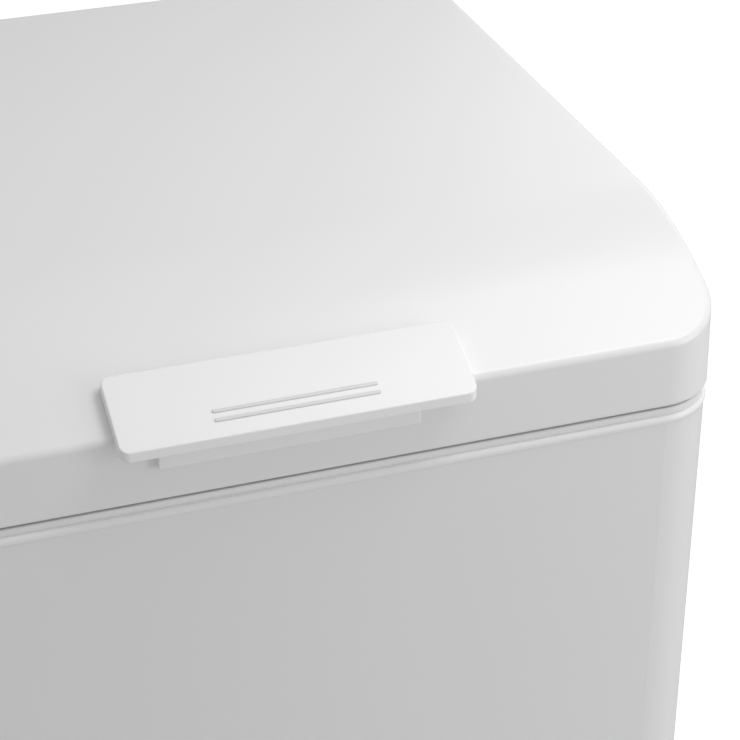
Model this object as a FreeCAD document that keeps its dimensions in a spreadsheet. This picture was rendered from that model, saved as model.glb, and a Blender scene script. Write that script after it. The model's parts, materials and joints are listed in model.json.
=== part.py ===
import FreeCAD, Part
import math
import os

import Sketcher

# A small chest freezer, closed. Millimetres, +Z up, front towards -Y.
#
# The origin is the middle of the footprint, on the floor. Every driving dimension is a cell of the
# sheet "Sizes", and each sub-part is bound to those cells.

doc = FreeCAD.newDocument("ChestFreezer")

# ---------------------------------------------------------------- driving dimensions

DIMENSIONS = [
    # overall
    ("OverallHeight", 850), ("LidWidth", 560), ("LidDepth", 556), ("PlateReach", 15), ("HingeReach", 20),
    # lid
    ("LidRise", 87.5), ("SkirtRise", 44.5), ("SlopeRun", 94.5), ("SlopeBlend", 205), ("FrontCorner", 42),
    ("RearCorner", 15), ("TopEdge", 6), ("LidWall", 1.6), ("LinerLift", 6), ("LidLinerGauge", 2),
    ("LidLinerPlay", 0.2), ("PlugInset", 72), ("PlugDrop", 20.5), ("PlugCorner", 20),
    ("GasketInset", 14), ("GasketWidth", 12), ("GasketGap", 0.3), ("GasketCorner", 28),
    # handle
    ("PlateWidth", 213.8), ("PlateBack", 34), ("PlateFrontRise", 44.6), ("PlateBackRise", 67.8),
    ("PlateThick", 7), ("PlateCrown", 235), ("PlateCorner", 6), ("BaseWidth", 158), ("BaseShift", -4),
    ("BaseProud", 4), ("BaseRise", 23), ("RibHalfLength", 49.7), ("RibWidth", 2.3), ("RibFront", 6.3), ("RibPitch", 5.3),
    ("RibProud", 0.7), ("HandleScrewReach", 60), ("HandleScrewBack", 16), ("HandleScrewLow", 36),
    ("HandleScrewLong", 18),
    # cabinet
    ("BodyInset", 0.8), ("SheetGauge", 1), ("RimDrop", 2.5), ("RimHeight", 10), ("BeadRound", 2),
    ("PanLift", 28), ("PanGauge", 2), ("WallThick", 56), ("LinerGauge", 2), ("LinerCorner", 14),
    ("LedgeWidth", 6), ("LedgeDrop", 40), ("WellFloor", 88), ("StepFloor", 360), ("WellRight", 35),
    ("BayLeft", 90), ("BayTop", 318), ("BayGauge", 1.2), ("RearPanelHalf", 264),
    ("GrilleFront", 60), ("GrilleBack", 240), ("GrilleLow", 60), ("GrilleTop", 200), ("GrillePlay", 0.2),
    ("GrilleThick", 1.5), ("GrilleProud", 0.6), ("GrilleBorder", 12), ("GrilleSlot", 5), ("GrillePitch", 12),
    ("CoverLeft", 100), ("CoverRight", 232), ("CoverLow", 40), ("CoverTop", 300), ("CoverThick", 1.5),
    ("CoverLap", 10), ("CoverBorder", 20), ("CoverSlotLow", 70), ("CoverSlot", 6), ("CoverPitch", 14),
    ("SpacerSpread", 120), ("SpacerHalf", 15), ("SpacerReach", 14), ("SpacerLow", 600), ("SpacerTall", 22),
    ("GlandX", 244), ("GlandZ", 60), ("GlandBore", 9), ("GlandPlay", 0.1), ("GlandDeep", 8),
    ("GlandCollar", 12), ("GlandProud", 7),
    # hinges
    ("HingeSpread", 190), ("PivotBack", 11), ("PivotRise", 10), ("PinRadius", 4), ("PinPlay", 0.05),
    ("FitPlay", 0.02), ("PinEnd", 2), ("PinHead", 6), ("PinHeadThick", 2.5),
    ("EarInner", 18), ("EarThick", 3), ("EarLift", 6), ("KnuckleRadius", 8), ("KnuckleLeft", 8),
    ("KnuckleLong", 25.5), ("BracketHalf", 26), ("BracketThick", 3), ("BracketHeight", 60),
    ("BracketDrop", 1), ("BracketHoleSpread", 10), ("BracketHoleLow", 12), ("BracketHoleTop", 46),
    ("LeafHalf", 15), ("LeafThick", 2.5), ("LeafHeight", 44), ("LeafDrop", 4), ("WebInset", 1),
    ("LeafHoleSpread", 8), ("LeafHoleLow", 16), ("LeafHoleTop", 32), ("SpringRadius", 6.2),
    ("SpringWire", 0.75), ("SpringGap", 0.5),
    # screws
    ("ScrewRadius", 2), ("ScrewHole", 2.2), ("ScrewHead", 4), ("ScrewHeadThick", 2.2), ("HeadGap", 0.1),
    ("BracketScrewDeep", 12), ("LeafScrewDeep", 10), ("ScrewNeck", 1),
    # undercarriage
    ("FootSpread", 235), ("FootForward", 235), ("PadRadius", 17), ("PadThick", 5), ("PadConeTop", 8),
    ("PadConeTall", 6), ("StemRadius", 5), ("StemLow", 10), ("StemTop", 46), ("BossRadius", 9),
    ("BossTop", 50), ("RollerSpread", 200), ("RollerBack", 235), ("RollerRadius", 12.5), ("RollerHalf", 9),
    ("AxleRadius", 3), ("AxleEnd", 1.5), ("ForkGap", 1), ("ForkGauge", 2), ("ForkHalf", 12),
    ("CheekHalf", 10), ("CheekLow", 6),
    # basket
    ("BasketLeft", 6), ("BasketRight", 207), ("BasketFloor", 540), ("BasketBar", 3), ("BasketGap", 1),
    ("BasketLift", 0.3), ("BasketBend", 8), ("GripHalf", 45), ("GripOut", 1), ("GripIn", 7), ("GripTop", 16),
    # refrigeration circuit
    ("EvaporatorBore", 4), ("EvaporatorGap", 0.3), ("EvaporatorLow", 400), ("EvaporatorPitch", 62),
    ("CondenserBore", 3), ("CondenserGap", 1.5), ("CondenserLow", 380), ("CondenserPitch", 76),
    ("CondenserBend", 38),
    ("PotX", 185), ("PotY", 165), ("PotRadius", 68), ("PotLow", 50), ("PotTop", 190), ("PotRound", 30),
    ("FootplateLow", 40), ("FootplateHalf", 72), ("FootplateThick", 3), ("FootplateStand", 36),
    ("FootplateEdge", 12), ("FootplateHole", 4), ("GrommetRadius", 9),
    ("BoltRadius", 3.5), ("BoltHead", 7), ("BoltHeadTall", 5), ("BoltGap", 0.2), ("BoltLap", 1),
    ("RelayHalf", 26), ("RelayReach", 18), ("RelayBack", 40), ("RelayLow", 90), ("RelayTop", 145),
    ("RelayGap", 0.2),
    ("DrierX", 130), ("DrierY", 0), ("DrierRadius", 10), ("DrierLow", 100), ("DrierTop", 170),
    ("DrierTaper", 12), ("DrierNeck", 3.2),
    ("DischargeRadius", 3), ("DischargeTop", 240), ("DischargeBend", 20),
    ("SuctionRadius", 4), ("SuctionBend", 12), ("SuctionStart", 20), ("SuctionEnd", -25),
    ("SuctionLow", 255), ("SuctionTop", 285),
    # controls
    ("PanelLeft", 150), ("PanelRight", 240), ("PanelLow", 70), ("PanelTop", 110), ("PanelProud", 3),
    ("PanelLap", 5), ("PanelLapUpright", 4),
    ("KnobX", 178), ("KnobZ", 90), ("KnobRadius", 13), ("KnobDepth", 9), ("KnobGap", 0.4),
    ("PointerHalf", 1), ("PointerLow", 3), ("PointerTop", 12), ("PointerDeep", 1),
    ("ShaftRadius", 3), ("ShaftProud", 6), ("ShaftLong", 20), ("CaseHalf", 18), ("CaseGap", 1.2),
    ("CaseBack", 34), ("CaseRise", 14), ("CaseBore", 14),
    ("RockerX", 212), ("RockerZ", 82.5), ("RockerRadius", 7), ("RockerHalf", 7.6), ("RockerFlat", 5.4),
    ("RockerTilt", 12), ("RockerWindowHalf", 8), ("RockerWindowRise", 7.5),
    ("LampZ", 99), ("LampRadius", 2.5), ("LampPitch", 9), ("LampProud", 0.8), ("LampLong", 3.5),
    # defrost drain
    ("DrainX", -150), ("DrainY", -170), ("DrainZ", 61), ("DrainBore", 9.2), ("DrainOuter", 11),
    ("HoseProud", 1.8), ("StopperPlay", 0.4), ("StopperGap", 0.3), ("StopperStem", 6), ("StopperHead", 13),
    ("StopperThick", 3), ("TabHalf", 8), ("TabThin", 1.2), ("TabTop", 9), ("CapRadius", 13.5),
    ("CapThick", 5), ("CapStem", 9),
]

# Counts: slots, turns of a coil, and windows across and up each basket wall.
GRILLE_SLOTS = 10
COVER_SLOTS = 14
COIL_TURNS = 4
FLOOR_GRID = (5, 9)
END_GRID = (6, 3)
SIDE_GRID = (11, 3)

# How far a cutting shape runs past the face that it cuts.
PAST = 5

sheet = doc.addObject("Spreadsheet::Sheet", "Sizes")
for row, (alias, value) in enumerate(DIMENSIONS, start=1):
    sheet.set("A%d" % row, alias)
    sheet.set("B%d" % row, str(value))
    sheet.setAlias("B%d" % row, alias)
doc.recompute()


class Size:
    """A length that knows both its expression on the sheet and its present value."""

    def __init__(self, text, value):
        self.text = text
        self.value = value

    def _join(self, sign, other, value, flipped=False):
        left, right = (other, self) if flipped else (self, other)
        return Size("(%s %s %s)" % (left.text, sign, right.text), value)

    def __add__(self, other):
        other = length(other)
        return self._join("+", other, self.value + other.value)

    __radd__ = __add__

    def __sub__(self, other):
        other = length(other)
        return self._join("-", other, self.value - other.value)

    def __rsub__(self, other):
        return length(other) - self

    def __mul__(self, factor):
        factor = length(factor)
        return self._join("*", factor, self.value * factor.value)

    __rmul__ = __mul__

    def __truediv__(self, divisor):
        divisor = length(divisor)
        return self._join("/", divisor, self.value / divisor.value)

    def __neg__(self):
        return self * -1


def length(number):
    """Gives a plain number the same form as a size from the sheet."""
    return number if isinstance(number, Size) else Size("(%s)" % number, float(number))


S = {alias: Size("Sizes." + alias, float(value)) for alias, value in DIMENSIONS}

# Planes that most sub-parts share.
half = S["LidWidth"] / 2
lid_front = (S["PlateReach"] - S["LidDepth"] - S["HingeReach"]) / 2
lid_rear = lid_front + S["LidDepth"]
lid_low = S["OverallHeight"] - S["LidRise"]
liner_seat = lid_low + S["LinerLift"]
rim_top = lid_low - S["RimDrop"]
bead_low = rim_top - S["RimHeight"]
side = half - S["BodyInset"]
front = lid_front + S["BodyInset"]
rear = lid_rear - S["BodyInset"]
pan_top = S["PanLift"] + S["PanGauge"]
inner_side = side - S["WallThick"]
inner_front = front + S["WallThick"]
inner_rear = rear - S["WallThick"]
ledge = bead_low - S["LedgeDrop"]
pivot_y = lid_rear + S["PivotBack"]
pivot_z = lid_low + S["PivotRise"]

# ---------------------------------------------------------------- building blocks


def bind(item, **sizes):
    """Binds properties to sheet expressions; x, y and z are the placement."""
    for name, value in sizes.items():
        path = "Placement.Base." + name if name in ("x", "y", "z") else name
        item.setExpression(path, length(value).text)
    return item


def block(name, x, y, z):
    """A box between two planes on each axis."""
    item = doc.addObject("Part::Box", name)
    (x0, x1), (y0, y1), (z0, z1) = x, y, z
    return bind(item, Length=length(x1) - x0, Width=length(y1) - y0, Height=length(z1) - z0, x=x0, y=y0, z=z0)


TURNS = {
    "x": FreeCAD.Rotation(FreeCAD.Vector(0, 1, 0), 90),
    "y": FreeCAD.Rotation(FreeCAD.Vector(1, 0, 0), -90),
    "z": FreeCAD.Rotation(),
}


def rod(name, axis, at, radius, reach):
    """A round bar that starts at a point and runs along +X, +Y or +Z."""
    item = doc.addObject("Part::Cylinder", name)
    item.Placement.Rotation = TURNS[axis]
    return bind(item, Radius=radius, Height=reach, x=at[0], y=at[1], z=at[2])


def cone(name, at, low, high, reach):
    """A cone frustum that stands on +Z."""
    item = doc.addObject("Part::Cone", name)
    return bind(item, Radius1=low, Radius2=high, Height=reach, x=at[0], y=at[1], z=at[2])


def fuse(name, *items):
    """Joins solids into one."""
    item = doc.addObject("Part::MultiFuse", name)
    item.Shapes = list(items)
    item.Refine = True
    return item


def group(name, *items):
    """Separate solids that share one node."""
    item = doc.addObject("Part::Compound", name)
    item.Links = list(items)
    return item


def cut(name, base, *tools):
    """What is left of a solid after others are taken from it."""
    item = doc.addObject("Part::Cut", name)
    item.Base = base
    item.Tool = tools[0] if len(tools) == 1 else group(name + "_tools", *tools)
    return item


def common(name, first, second):
    """The space that two solids share."""
    item = doc.addObject("Part::Common", name)
    item.Base = first
    item.Tool = second
    return item


def edge_names(item, wanted):
    """Names the edges that a test picks, from their middle point and bounding box."""
    doc.recompute([item])
    return ["Edge%d" % n for n, edge in enumerate(item.Shape.Edges, start=1) if wanted(edge.BoundBox)]


def design_fillet(body, base, names, radius):
    """A PartDesign fillet on named edges of the feature before it."""
    item = body.newObject("PartDesign::Fillet", body.Name + "_round")
    item.Base = (base, names)
    return bind(item, Radius=radius)


def rounded_block(name, x, y, z, front_radius, rear_radius=None):
    """A box whose upright edges are rounded, the front pair and the rear pair each by its own radius."""
    body = doc.addObject("PartDesign::Body", name)
    box = body.newObject("PartDesign::AdditiveBox", name + "_box")
    (x0, x1), (y0, y1), (z0, z1) = x, y, z
    bind(box, Length=length(x1) - x0, Width=length(y1) - y0, Height=length(z1) - z0)
    bind(body, x=x0, y=y0, z=z0)
    if rear_radius is None:
        names = edge_names(box, lambda b: b.ZLength > max(b.XLength, b.YLength))
        design_fillet(body, box, names, front_radius)
        return body
    near = edge_names(box, lambda b: b.ZLength > max(b.XLength, b.YLength) and b.YMax < 1)
    feature = design_fillet(body, box, near, front_radius)
    far = edge_names(feature, lambda b: b.ZLength > 1 and b.YMin > (length(y1) - y0).value - 1 and b.XLength < 1)
    design_fillet(body, feature, far, rear_radius)
    return body


def ring(name, outer, inner):
    """What is left of one solid after another is taken from its middle."""
    return cut(name, outer, inner)


def outline(body, plane, corners, arcs=()):
    """A closed sketch whose corners are bound to the sheet. arcs maps a side's number to (radius, side)."""
    sketch = body.newObject("Sketcher::SketchObject", body.Name + "_sketch")
    origin = next(f for f in body.Origin.OriginFeatures if f.Role == plane)
    sketch.AttachmentSupport = [(origin, "")]
    sketch.MapMode = "FlatFace"
    arcs = dict(arcs)
    points = [FreeCAD.Vector(length(u).value, length(v).value, 0) for u, v in corners]
    count = len(points)
    ends = []
    for n, start in enumerate(points):
        finish = points[(n + 1) % count]
        if n in arcs:
            radius, bulge = arcs[n]
            chord = finish - start
            outward = FreeCAD.Vector(-chord.y, chord.x, 0).normalize() * bulge
            depth = math.sqrt(radius.value ** 2 - (chord.Length / 2) ** 2)
            centre = (start + finish) * 0.5 - outward * depth
            first, last = (start, finish) if bulge < 0 else (finish, start)
            angles = [math.atan2(end.y - centre.y, end.x - centre.x) for end in (first, last)]
            if angles[1] < angles[0]:
                angles[1] += 2 * math.pi
            circle = Part.Circle(centre, FreeCAD.Vector(0, 0, 1), radius.value)
            sketch.addGeometry(Part.ArcOfCircle(circle, *angles))
            sketch.addConstraint(Sketcher.Constraint("Radius", n, radius.value))
            sketch.setExpression("Constraints[%d]" % (sketch.ConstraintCount - 1), radius.text)
            ends.append((1, 2) if bulge < 0 else (2, 1))
        else:
            sketch.addGeometry(Part.LineSegment(start, finish))
            ends.append((1, 2))
    for n, (u, v) in enumerate(corners):
        before = (n - 1) % count
        sketch.addConstraint(Sketcher.Constraint("Coincident", before, ends[before][1], n, ends[n][0]))
        for kind, value in (("DistanceX", length(u)), ("DistanceY", length(v))):
            sketch.addConstraint(Sketcher.Constraint(kind, -1, 1, n, ends[n][0], value.value))
            sketch.setExpression("Constraints[%d]" % (sketch.ConstraintCount - 1), value.text)
    return sketch


def side_profile(name, left, right, corners, arcs=()):
    """A profile in the YZ plane, carried from one X plane to another."""
    body = doc.addObject("PartDesign::Body", name)
    sketch = outline(body, "YZ_Plane", corners, arcs)
    pad = body.newObject("PartDesign::Pad", name + "_pad")
    pad.Profile = sketch
    bind(pad, Length=length(right) - left)
    bind(body, x=left)
    sketch.Visibility = False
    return body


def solid_feature(name, shape, placement=FreeCAD.Placement()):
    """A sub-part whose shape comes from Part's own functions."""
    item = doc.addObject("Part::Feature", name)
    item.Shape = shape
    item.Placement = placement
    return item


def pipe(name, points, bend, radius):
    """A round tube along straight runs that are joined by tangent arcs."""
    points = [FreeCAD.Vector(*point) for point in points]
    edges = []
    here = points[0]
    for before, corner, after in zip(points, points[1:], points[2:]):
        back = (before - corner).normalize()
        ahead = (after - corner).normalize()
        half_turn = (math.pi - back.getAngle(ahead)) / 2
        reach = bend * math.tan(half_turn)
        start = corner + back * reach
        finish = corner + ahead * reach
        inward = (back + ahead).normalize()
        middle = corner + inward * (bend / math.cos(half_turn) - bend)
        edges.append(Part.LineSegment(here, start).toShape())
        edges.append(Part.Arc(start, middle, finish).toShape())
        here = finish
    edges.append(Part.LineSegment(here, points[-1]).toShape())
    path = Part.Wire(edges)
    section = Part.Wire(Part.Circle(points[0], points[1] - points[0], radius).toShape())
    return solid_feature(name, path.makePipeShell([section], True, False))


def value(alias):
    """A dimension's present value, for shapes that Part's own functions make."""
    return S[alias].value


PARTS = {}


def keep(name, item):
    """Makes an object a sub-part, under the name that its file takes."""
    item.Label = name
    PARTS[name] = item
    return item


SIDES = (("left", -1), ("right", 1))

# ---------------------------------------------------------------- lid


def lid_form(tag, inset):
    """The lid's outer form, or that form drawn in by a wall: sloped front, flat top, upright sides."""
    top = S["OverallHeight"] - inset
    slope = (S["LidRise"] - S["SkirtRise"]) / S["SlopeRun"]
    slope_back = lid_front + S["SlopeRun"]
    near = lid_front - PAST
    far = lid_rear + PAST
    profile = side_profile(
        "lid_side_" + tag, -half - PAST, half + PAST,
        [
            (near, lid_low - 2 * PAST),
            (near, lid_low + S["SkirtRise"] - inset - PAST * slope),
            (slope_back, top),
            (far, top),
            (far, lid_low - 2 * PAST),
        ],
    )
    pad = profile.Tip
    crease = edge_names(
        pad,
        lambda b: b.XLength > 100 and abs(b.YMin - slope_back.value) < 1 and abs(b.ZMin - top.value) < 1,
    )
    design_fillet(profile, pad, crease, S["SlopeBlend"])
    plan = rounded_block(
        "lid_plan_" + tag, (-half + inset, half - inset), (lid_front + inset, lid_rear - inset),
        (lid_low - PAST if inset.value else lid_low, S["OverallHeight"] + PAST),
        S["FrontCorner"] - inset, S["RearCorner"] - inset,
    )
    form = common("lid_form_" + tag, profile, plan)
    doc.recompute()
    soft = doc.addObject("Part::Fillet", "lid_soft_" + tag)
    soft.Base = form
    radius = (S["TopEdge"] - inset).value
    low = lid_low.value + 1

    def rim(edge):
        """The upper outline: every edge above the skirt's foot that isn't upright or across the lid's top."""
        box = edge.BoundBox
        upright = box.ZLength > 5 and box.XLength < 0.01 and box.YLength < 0.01
        across = box.XLength > value("LidWidth") - 20 and box.YMin > lid_front.value + 20
        return box.ZMin > low and not upright and not (across and box.YMin < lid_rear.value - 20)

    soft.Edges = [(n, radius, radius) for n, edge in enumerate(form.Shape.Edges, start=1) if rim(edge)]
    return soft


def build_lid():
    """The outer shell, the liner with its plug, the foam between them and the seal."""
    wall = S["LidWall"]
    outer = lid_form("outer", length(0))
    inner = lid_form("inner", wall)
    keep("lid_shell", cut("lid_shell", outer, inner))

    gap = wall + S["LidLinerPlay"]
    seat = liner_seat
    plug_low = lid_low - S["PlugDrop"]
    plug_x = half - S["PlugInset"]
    plug_y = (lid_front + S["PlugInset"], lid_rear - S["PlugInset"])
    gauge = S["LidLinerGauge"]
    flange = rounded_block(
        "lid_liner_flange", (-half + gap, half - gap), (lid_front + gap, lid_rear - gap), (seat, seat + gauge),
        S["FrontCorner"] - gap, S["RearCorner"] - gap,
    )
    plug = rounded_block("lid_plug", (-plug_x, plug_x), plug_y, (plug_low, seat + gauge), S["PlugCorner"])
    hollow = rounded_block(
        "lid_plug_hollow", (-plug_x + gauge, plug_x - gauge), (plug_y[0] + gauge, plug_y[1] - gauge),
        (plug_low + gauge, seat + gauge + PAST), S["PlugCorner"] - gauge,
    )
    keep("lid_liner", cut("lid_liner", fuse("lid_liner_whole", flange, plug), hollow))

    filling = rounded_block(
        "lid_plug_filling", (-plug_x + gauge, plug_x - gauge), (plug_y[0] + gauge, plug_y[1] - gauge),
        (plug_low + gauge, seat + gauge + 1), S["PlugCorner"] - gauge,
    )
    above = block("lid_foam_zone", (-half, half), (lid_front, lid_rear), (seat + gauge, S["OverallHeight"]))
    keep("lid_foam", fuse("lid_foam", common("lid_foam_upper", inner, above), filling))

    inset = S["GasketInset"]
    thick = S["GasketWidth"]
    low = rim_top + S["GasketGap"]
    seal = rounded_block(
        "gasket_outer", (-half + inset, half - inset), (lid_front + inset, lid_rear - inset), (low, seat),
        S["GasketCorner"], S["RearCorner"],
    )
    bore = rounded_block(
        "gasket_bore", (-half + inset + thick, half - inset - thick),
        (lid_front + inset + thick, lid_rear - inset - thick), (low - PAST, seat + PAST),
        S["GasketCorner"] - thick, S["RearCorner"] - thick,
    )
    keep("lid_gasket", ring("lid_gasket", seal, bore))


def build_handle():
    """The lift plate with two ribs, the block that it stands on, and its screws."""
    reach = S["PlateWidth"] / 2
    near = lid_front - S["PlateReach"]
    far = lid_front + S["PlateBack"]
    low_near = lid_low + S["PlateFrontRise"]
    low_far = lid_low + S["PlateBackRise"]
    thick = S["PlateThick"]
    plate = side_profile(
        "plate_side", -reach, reach,
        [(near, low_near - thick), (near, low_near), (far, low_far), (far, low_far - thick)],
        {1: (S["PlateCrown"], 1)},
    )
    plan = rounded_block(
        "plate_plan", (-reach, reach), (near, far), (lid_low, S["OverallHeight"]), S["PlateCorner"])
    body = common("plate_body", plate, plan)
    # Two low parallel ribs, square to the plate's mean slope.
    run = value("PlateReach") + value("PlateBack")
    climb = value("PlateBackRise") - value("PlateFrontRise")
    tilt = math.degrees(math.atan2(climb, run))
    ribs = []
    for n in range(2):
        along = value("PlateReach") - value("RibFront") + n * value("RibPitch")
        crown = value("PlateCrown")
        sag = math.sqrt(crown ** 2 - (along - run / 2) ** 2) - math.sqrt(crown ** 2 - (run / 2) ** 2)
        rib = doc.addObject("Part::Box", "rib_%d" % n)
        bind(rib, Length=S["RibHalfLength"] * 2, Width=S["RibWidth"], Height=S["RibProud"] * 4)
        rib.Placement = FreeCAD.Placement(
            FreeCAD.Vector(-value("RibHalfLength"), near.value + along,
                           low_near.value + climb * along / run + sag - 3 * value("RibProud")),
            FreeCAD.Rotation(FreeCAD.Vector(1, 0, 0), tilt),
        )
        ribs.append(rib)
    keep("handle_plate", fuse("handle_plate", body, *ribs))

    proud = S["BaseProud"]
    slope = (S["PlateBackRise"] - S["PlateFrontRise"]) / (S["PlateReach"] + S["PlateBack"])
    foot = lid_low + S["BaseRise"]

    def under(y):
        return low_near - thick + slope * (y - near)

    base = side_profile(
        "handle_base_body", S["BaseShift"] - S["BaseWidth"] / 2, S["BaseShift"] + S["BaseWidth"] / 2,
        [(lid_front - proud, foot), (lid_front - proud, under(lid_front - proud)),
         (lid_front, under(lid_front)), (lid_front, foot)],
    )
    keep("handle_base", base)
    fixings = [
        rod("handle_screw_" + name, "z",
            (sign * S["HandleScrewReach"], lid_front + S["HandleScrewBack"], lid_low + S["HandleScrewLow"]),
            S["ScrewRadius"], S["HandleScrewLong"])
        for name, sign in SIDES
    ]
    keep("handle_screws", group("handle_screws", *fixings))


# ---------------------------------------------------------------- cabinet


def shell_block(name, inset, low, high):
    """The cabinet's plan, drawn in by an inset, between two heights."""
    return rounded_block(
        name, (-side + inset, side - inset), (front + inset, rear - inset), (low, high),
        S["FrontCorner"] - S["BodyInset"] - inset, S["RearCorner"] - S["BodyInset"] - inset,
    )


def liner_form(name, grow):
    """The liner's cavity, or that cavity grown by the liner's gauge: deep well, step and ledge."""
    x = (-inner_side - grow, inner_side + grow)
    y = (inner_front - grow, inner_rear + grow)
    top = bead_low if grow.value else bead_low + PAST
    corner = S["LinerCorner"] + grow
    upper = rounded_block(name + "_upper", x, y, (S["StepFloor"] - grow, top), corner)
    well = rounded_block(
        name + "_well", (x[0], S["WellRight"] + grow), y, (S["WellFloor"] - grow, ledge), corner)
    wide = S["LedgeWidth"]
    mouth = rounded_block(
        name + "_mouth", (x[0] - wide, x[1] + wide), (y[0] - wide, y[1] + wide), (ledge - grow, top),
        corner + wide)
    return fuse(name, upper, well, mouth)


def elbow(name, radius, mouth, top):
    """The defrost drain's course: down from the well's floor, then forward through the front."""
    at = (S["DrainX"], S["DrainY"], S["DrainZ"])
    ball = bind(doc.addObject("Part::Sphere", name + "_ball"), Radius=radius, x=at[0], y=at[1], z=at[2])
    return fuse(
        name, ball,
        rod(name + "_down", "z", at, radius, top - S["DrainZ"]),
        rod(name + "_out", "y", (at[0], mouth, at[2]), radius, S["DrainY"] - mouth),
    )


def slots(name, count, x, y, low, tall, pitch):
    """Cutting bars for a row of level slots, one over another."""
    return [
        block("%s_%d" % (name, n), x, y, (low + pitch * n, low + pitch * n + tall)) for n in range(count)
    ]


def build_cabinet():
    """The wrapper, back, vents, pan, rim, liner, foam, bay walls and drain tube."""
    gauge = S["SheetGauge"]
    outer = shell_block("wrapper_outer", length(0), pan_top, bead_low)
    whole_height = (pan_top - PAST, bead_low + PAST)
    rear_skin = (rear - PAST, rear + PAST)
    inner = shell_block("wrapper_inner", gauge, *whole_height)
    open_back = block("wrapper_back", (-S["RearPanelHalf"], S["RearPanelHalf"]), rear_skin, whole_height)
    lap, lap_upright = S["PanelLap"], S["PanelLapUpright"]
    panel_window = block(
        "panel_window", (S["PanelLeft"] + lap, S["PanelRight"] - lap), (front - PAST, front + PAST),
        (S["PanelLow"] + lap_upright, S["PanelTop"] - lap_upright))
    grille_window = block(
        "grille_window", (side - PAST, side + PAST), (S["GrilleFront"], S["GrilleBack"]),
        (S["GrilleLow"], S["GrilleTop"]))
    drain_hole = rod(
        "wrapper_drain_hole", "y", (S["DrainX"], front - PAST, S["DrainZ"]), S["DrainOuter"], 2 * PAST)
    keep("cabinet_wrapper", cut(
        "cabinet_wrapper", outer, inner, open_back, panel_window, grille_window, drain_hole))

    back = block(
        "rear_sheet", (-S["RearPanelHalf"], S["RearPanelHalf"]), (rear - gauge, rear), (pan_top, bead_low))
    lap = S["CoverLap"]
    window = block(
        "service_window", (S["CoverLeft"] + lap, S["CoverRight"] - lap), rear_skin,
        (S["CoverLow"] + lap, S["CoverTop"] - lap))
    gland_hole = rod("gland_hole", "y", (S["GlandX"], rear - PAST, S["GlandZ"]), S["GlandBore"], 2 * PAST)
    keep("rear_panel", cut("rear_panel", back, window, gland_hole))

    play, border = S["GrillePlay"], S["GrilleBorder"]
    grille = block(
        "grille_sheet", (side - S["GrilleThick"], side + S["GrilleProud"]),
        (S["GrilleFront"] + play, S["GrilleBack"] - play), (S["GrilleLow"] + play, S["GrilleTop"] - play))
    grille_slots = slots(
        "grille_slot", GRILLE_SLOTS, (side - PAST, side + PAST),
        (S["GrilleFront"] + border, S["GrilleBack"] - border),
        S["GrilleLow"] + border, S["GrilleSlot"], S["GrillePitch"])
    keep("side_grille", cut("side_grille", grille, *grille_slots))

    cover = block(
        "cover_sheet", (S["CoverLeft"], S["CoverRight"]), (rear, rear + S["CoverThick"]),
        (S["CoverLow"], S["CoverTop"]))
    border = S["CoverBorder"]
    cover_slots = slots(
        "cover_slot", COVER_SLOTS, (S["CoverLeft"] + border, S["CoverRight"] - border), rear_skin,
        S["CoverSlotLow"], S["CoverSlot"], S["CoverPitch"])
    keep("service_cover", cut("service_cover", cover, *cover_slots))

    pan = shell_block("pan_sheet", length(0), S["PanLift"], pan_top)
    bosses = []
    bores = []
    for name, sign in SIDES:
        at = (sign * S["FootSpread"], -S["FootForward"])
        bosses.append(rod(
            "foot_boss_" + name, "z", (*at, S["PanLift"]), S["BossRadius"], S["BossTop"] - S["PanLift"]))
        bores.append(rod("foot_bore_" + name, "z", (*at, 0), S["StemRadius"] + S["PinPlay"], S["BossTop"] + PAST))
    keep("base_pan", cut("base_pan", fuse("pan_whole", pan, *bosses), *bores))

    rim_block = rounded_block(
        "rim_outer", (-half, half), (lid_front, lid_rear), (bead_low, rim_top), S["FrontCorner"], S["RearCorner"])
    level = edge_names(rim_block.Tip, lambda b: b.ZLength < 0.01)
    design_fillet(rim_block, rim_block.Tip, level, S["BeadRound"])
    mouth_x = inner_side + S["LedgeWidth"]
    mouth = rounded_block(
        "rim_mouth", (-mouth_x, mouth_x), (inner_front - S["LedgeWidth"], inner_rear + S["LedgeWidth"]),
        (bead_low - PAST, rim_top + PAST), S["LinerCorner"] + S["LedgeWidth"])
    keep("rim_frame", ring("rim_frame", rim_block, mouth))

    lip = shell_block("liner_lip", gauge, bead_low - S["LinerGauge"], bead_low)
    outside = liner_form("liner_outside", S["LinerGauge"])
    inside = liner_form("liner_inside", length(0))
    drain_bore = rod(
        "liner_drain_bore", "z", (S["DrainX"], S["DrainY"], S["WellFloor"] - 2 * PAST), S["DrainBore"], 4 * PAST)
    keep("inner_liner", cut("inner_liner", fuse("liner_whole", lip, outside), inside, drain_bore))

    bay_wall = S["BayLeft"] - S["BayGauge"]
    bay_lid = S["BayTop"] + S["BayGauge"]
    filling = shell_block("foam_whole", gauge, pan_top, bead_low - S["LinerGauge"])
    bay_space = block("bay_space", (bay_wall, half + PAST), (front - PAST, rear + PAST), (0, bay_lid))
    drain_room = elbow("foam_drain_room", S["DrainOuter"], front - PAST, S["WellFloor"] + PAST)
    boss_room = rod(
        "foam_boss_room", "z", (-S["FootSpread"], -S["FootForward"], 0), S["BossRadius"], S["BossTop"])
    keep("foam_insulation", cut(
        "foam_insulation", filling, outside, bay_space, drain_room, boss_room))

    partition = fuse(
        "bay_angle",
        block("bay_upright", (bay_wall, S["BayLeft"]), (front - PAST, rear + PAST), (pan_top, bay_lid)),
        block("bay_ceiling", (bay_wall, half + PAST), (front - PAST, rear + PAST), (S["BayTop"], bay_lid)),
    )
    bay_plan = shell_block("bay_plan", gauge, pan_top - 1, bead_low)
    keep("machine_bay_panel", common("machine_bay_panel", partition, bay_plan))

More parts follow.
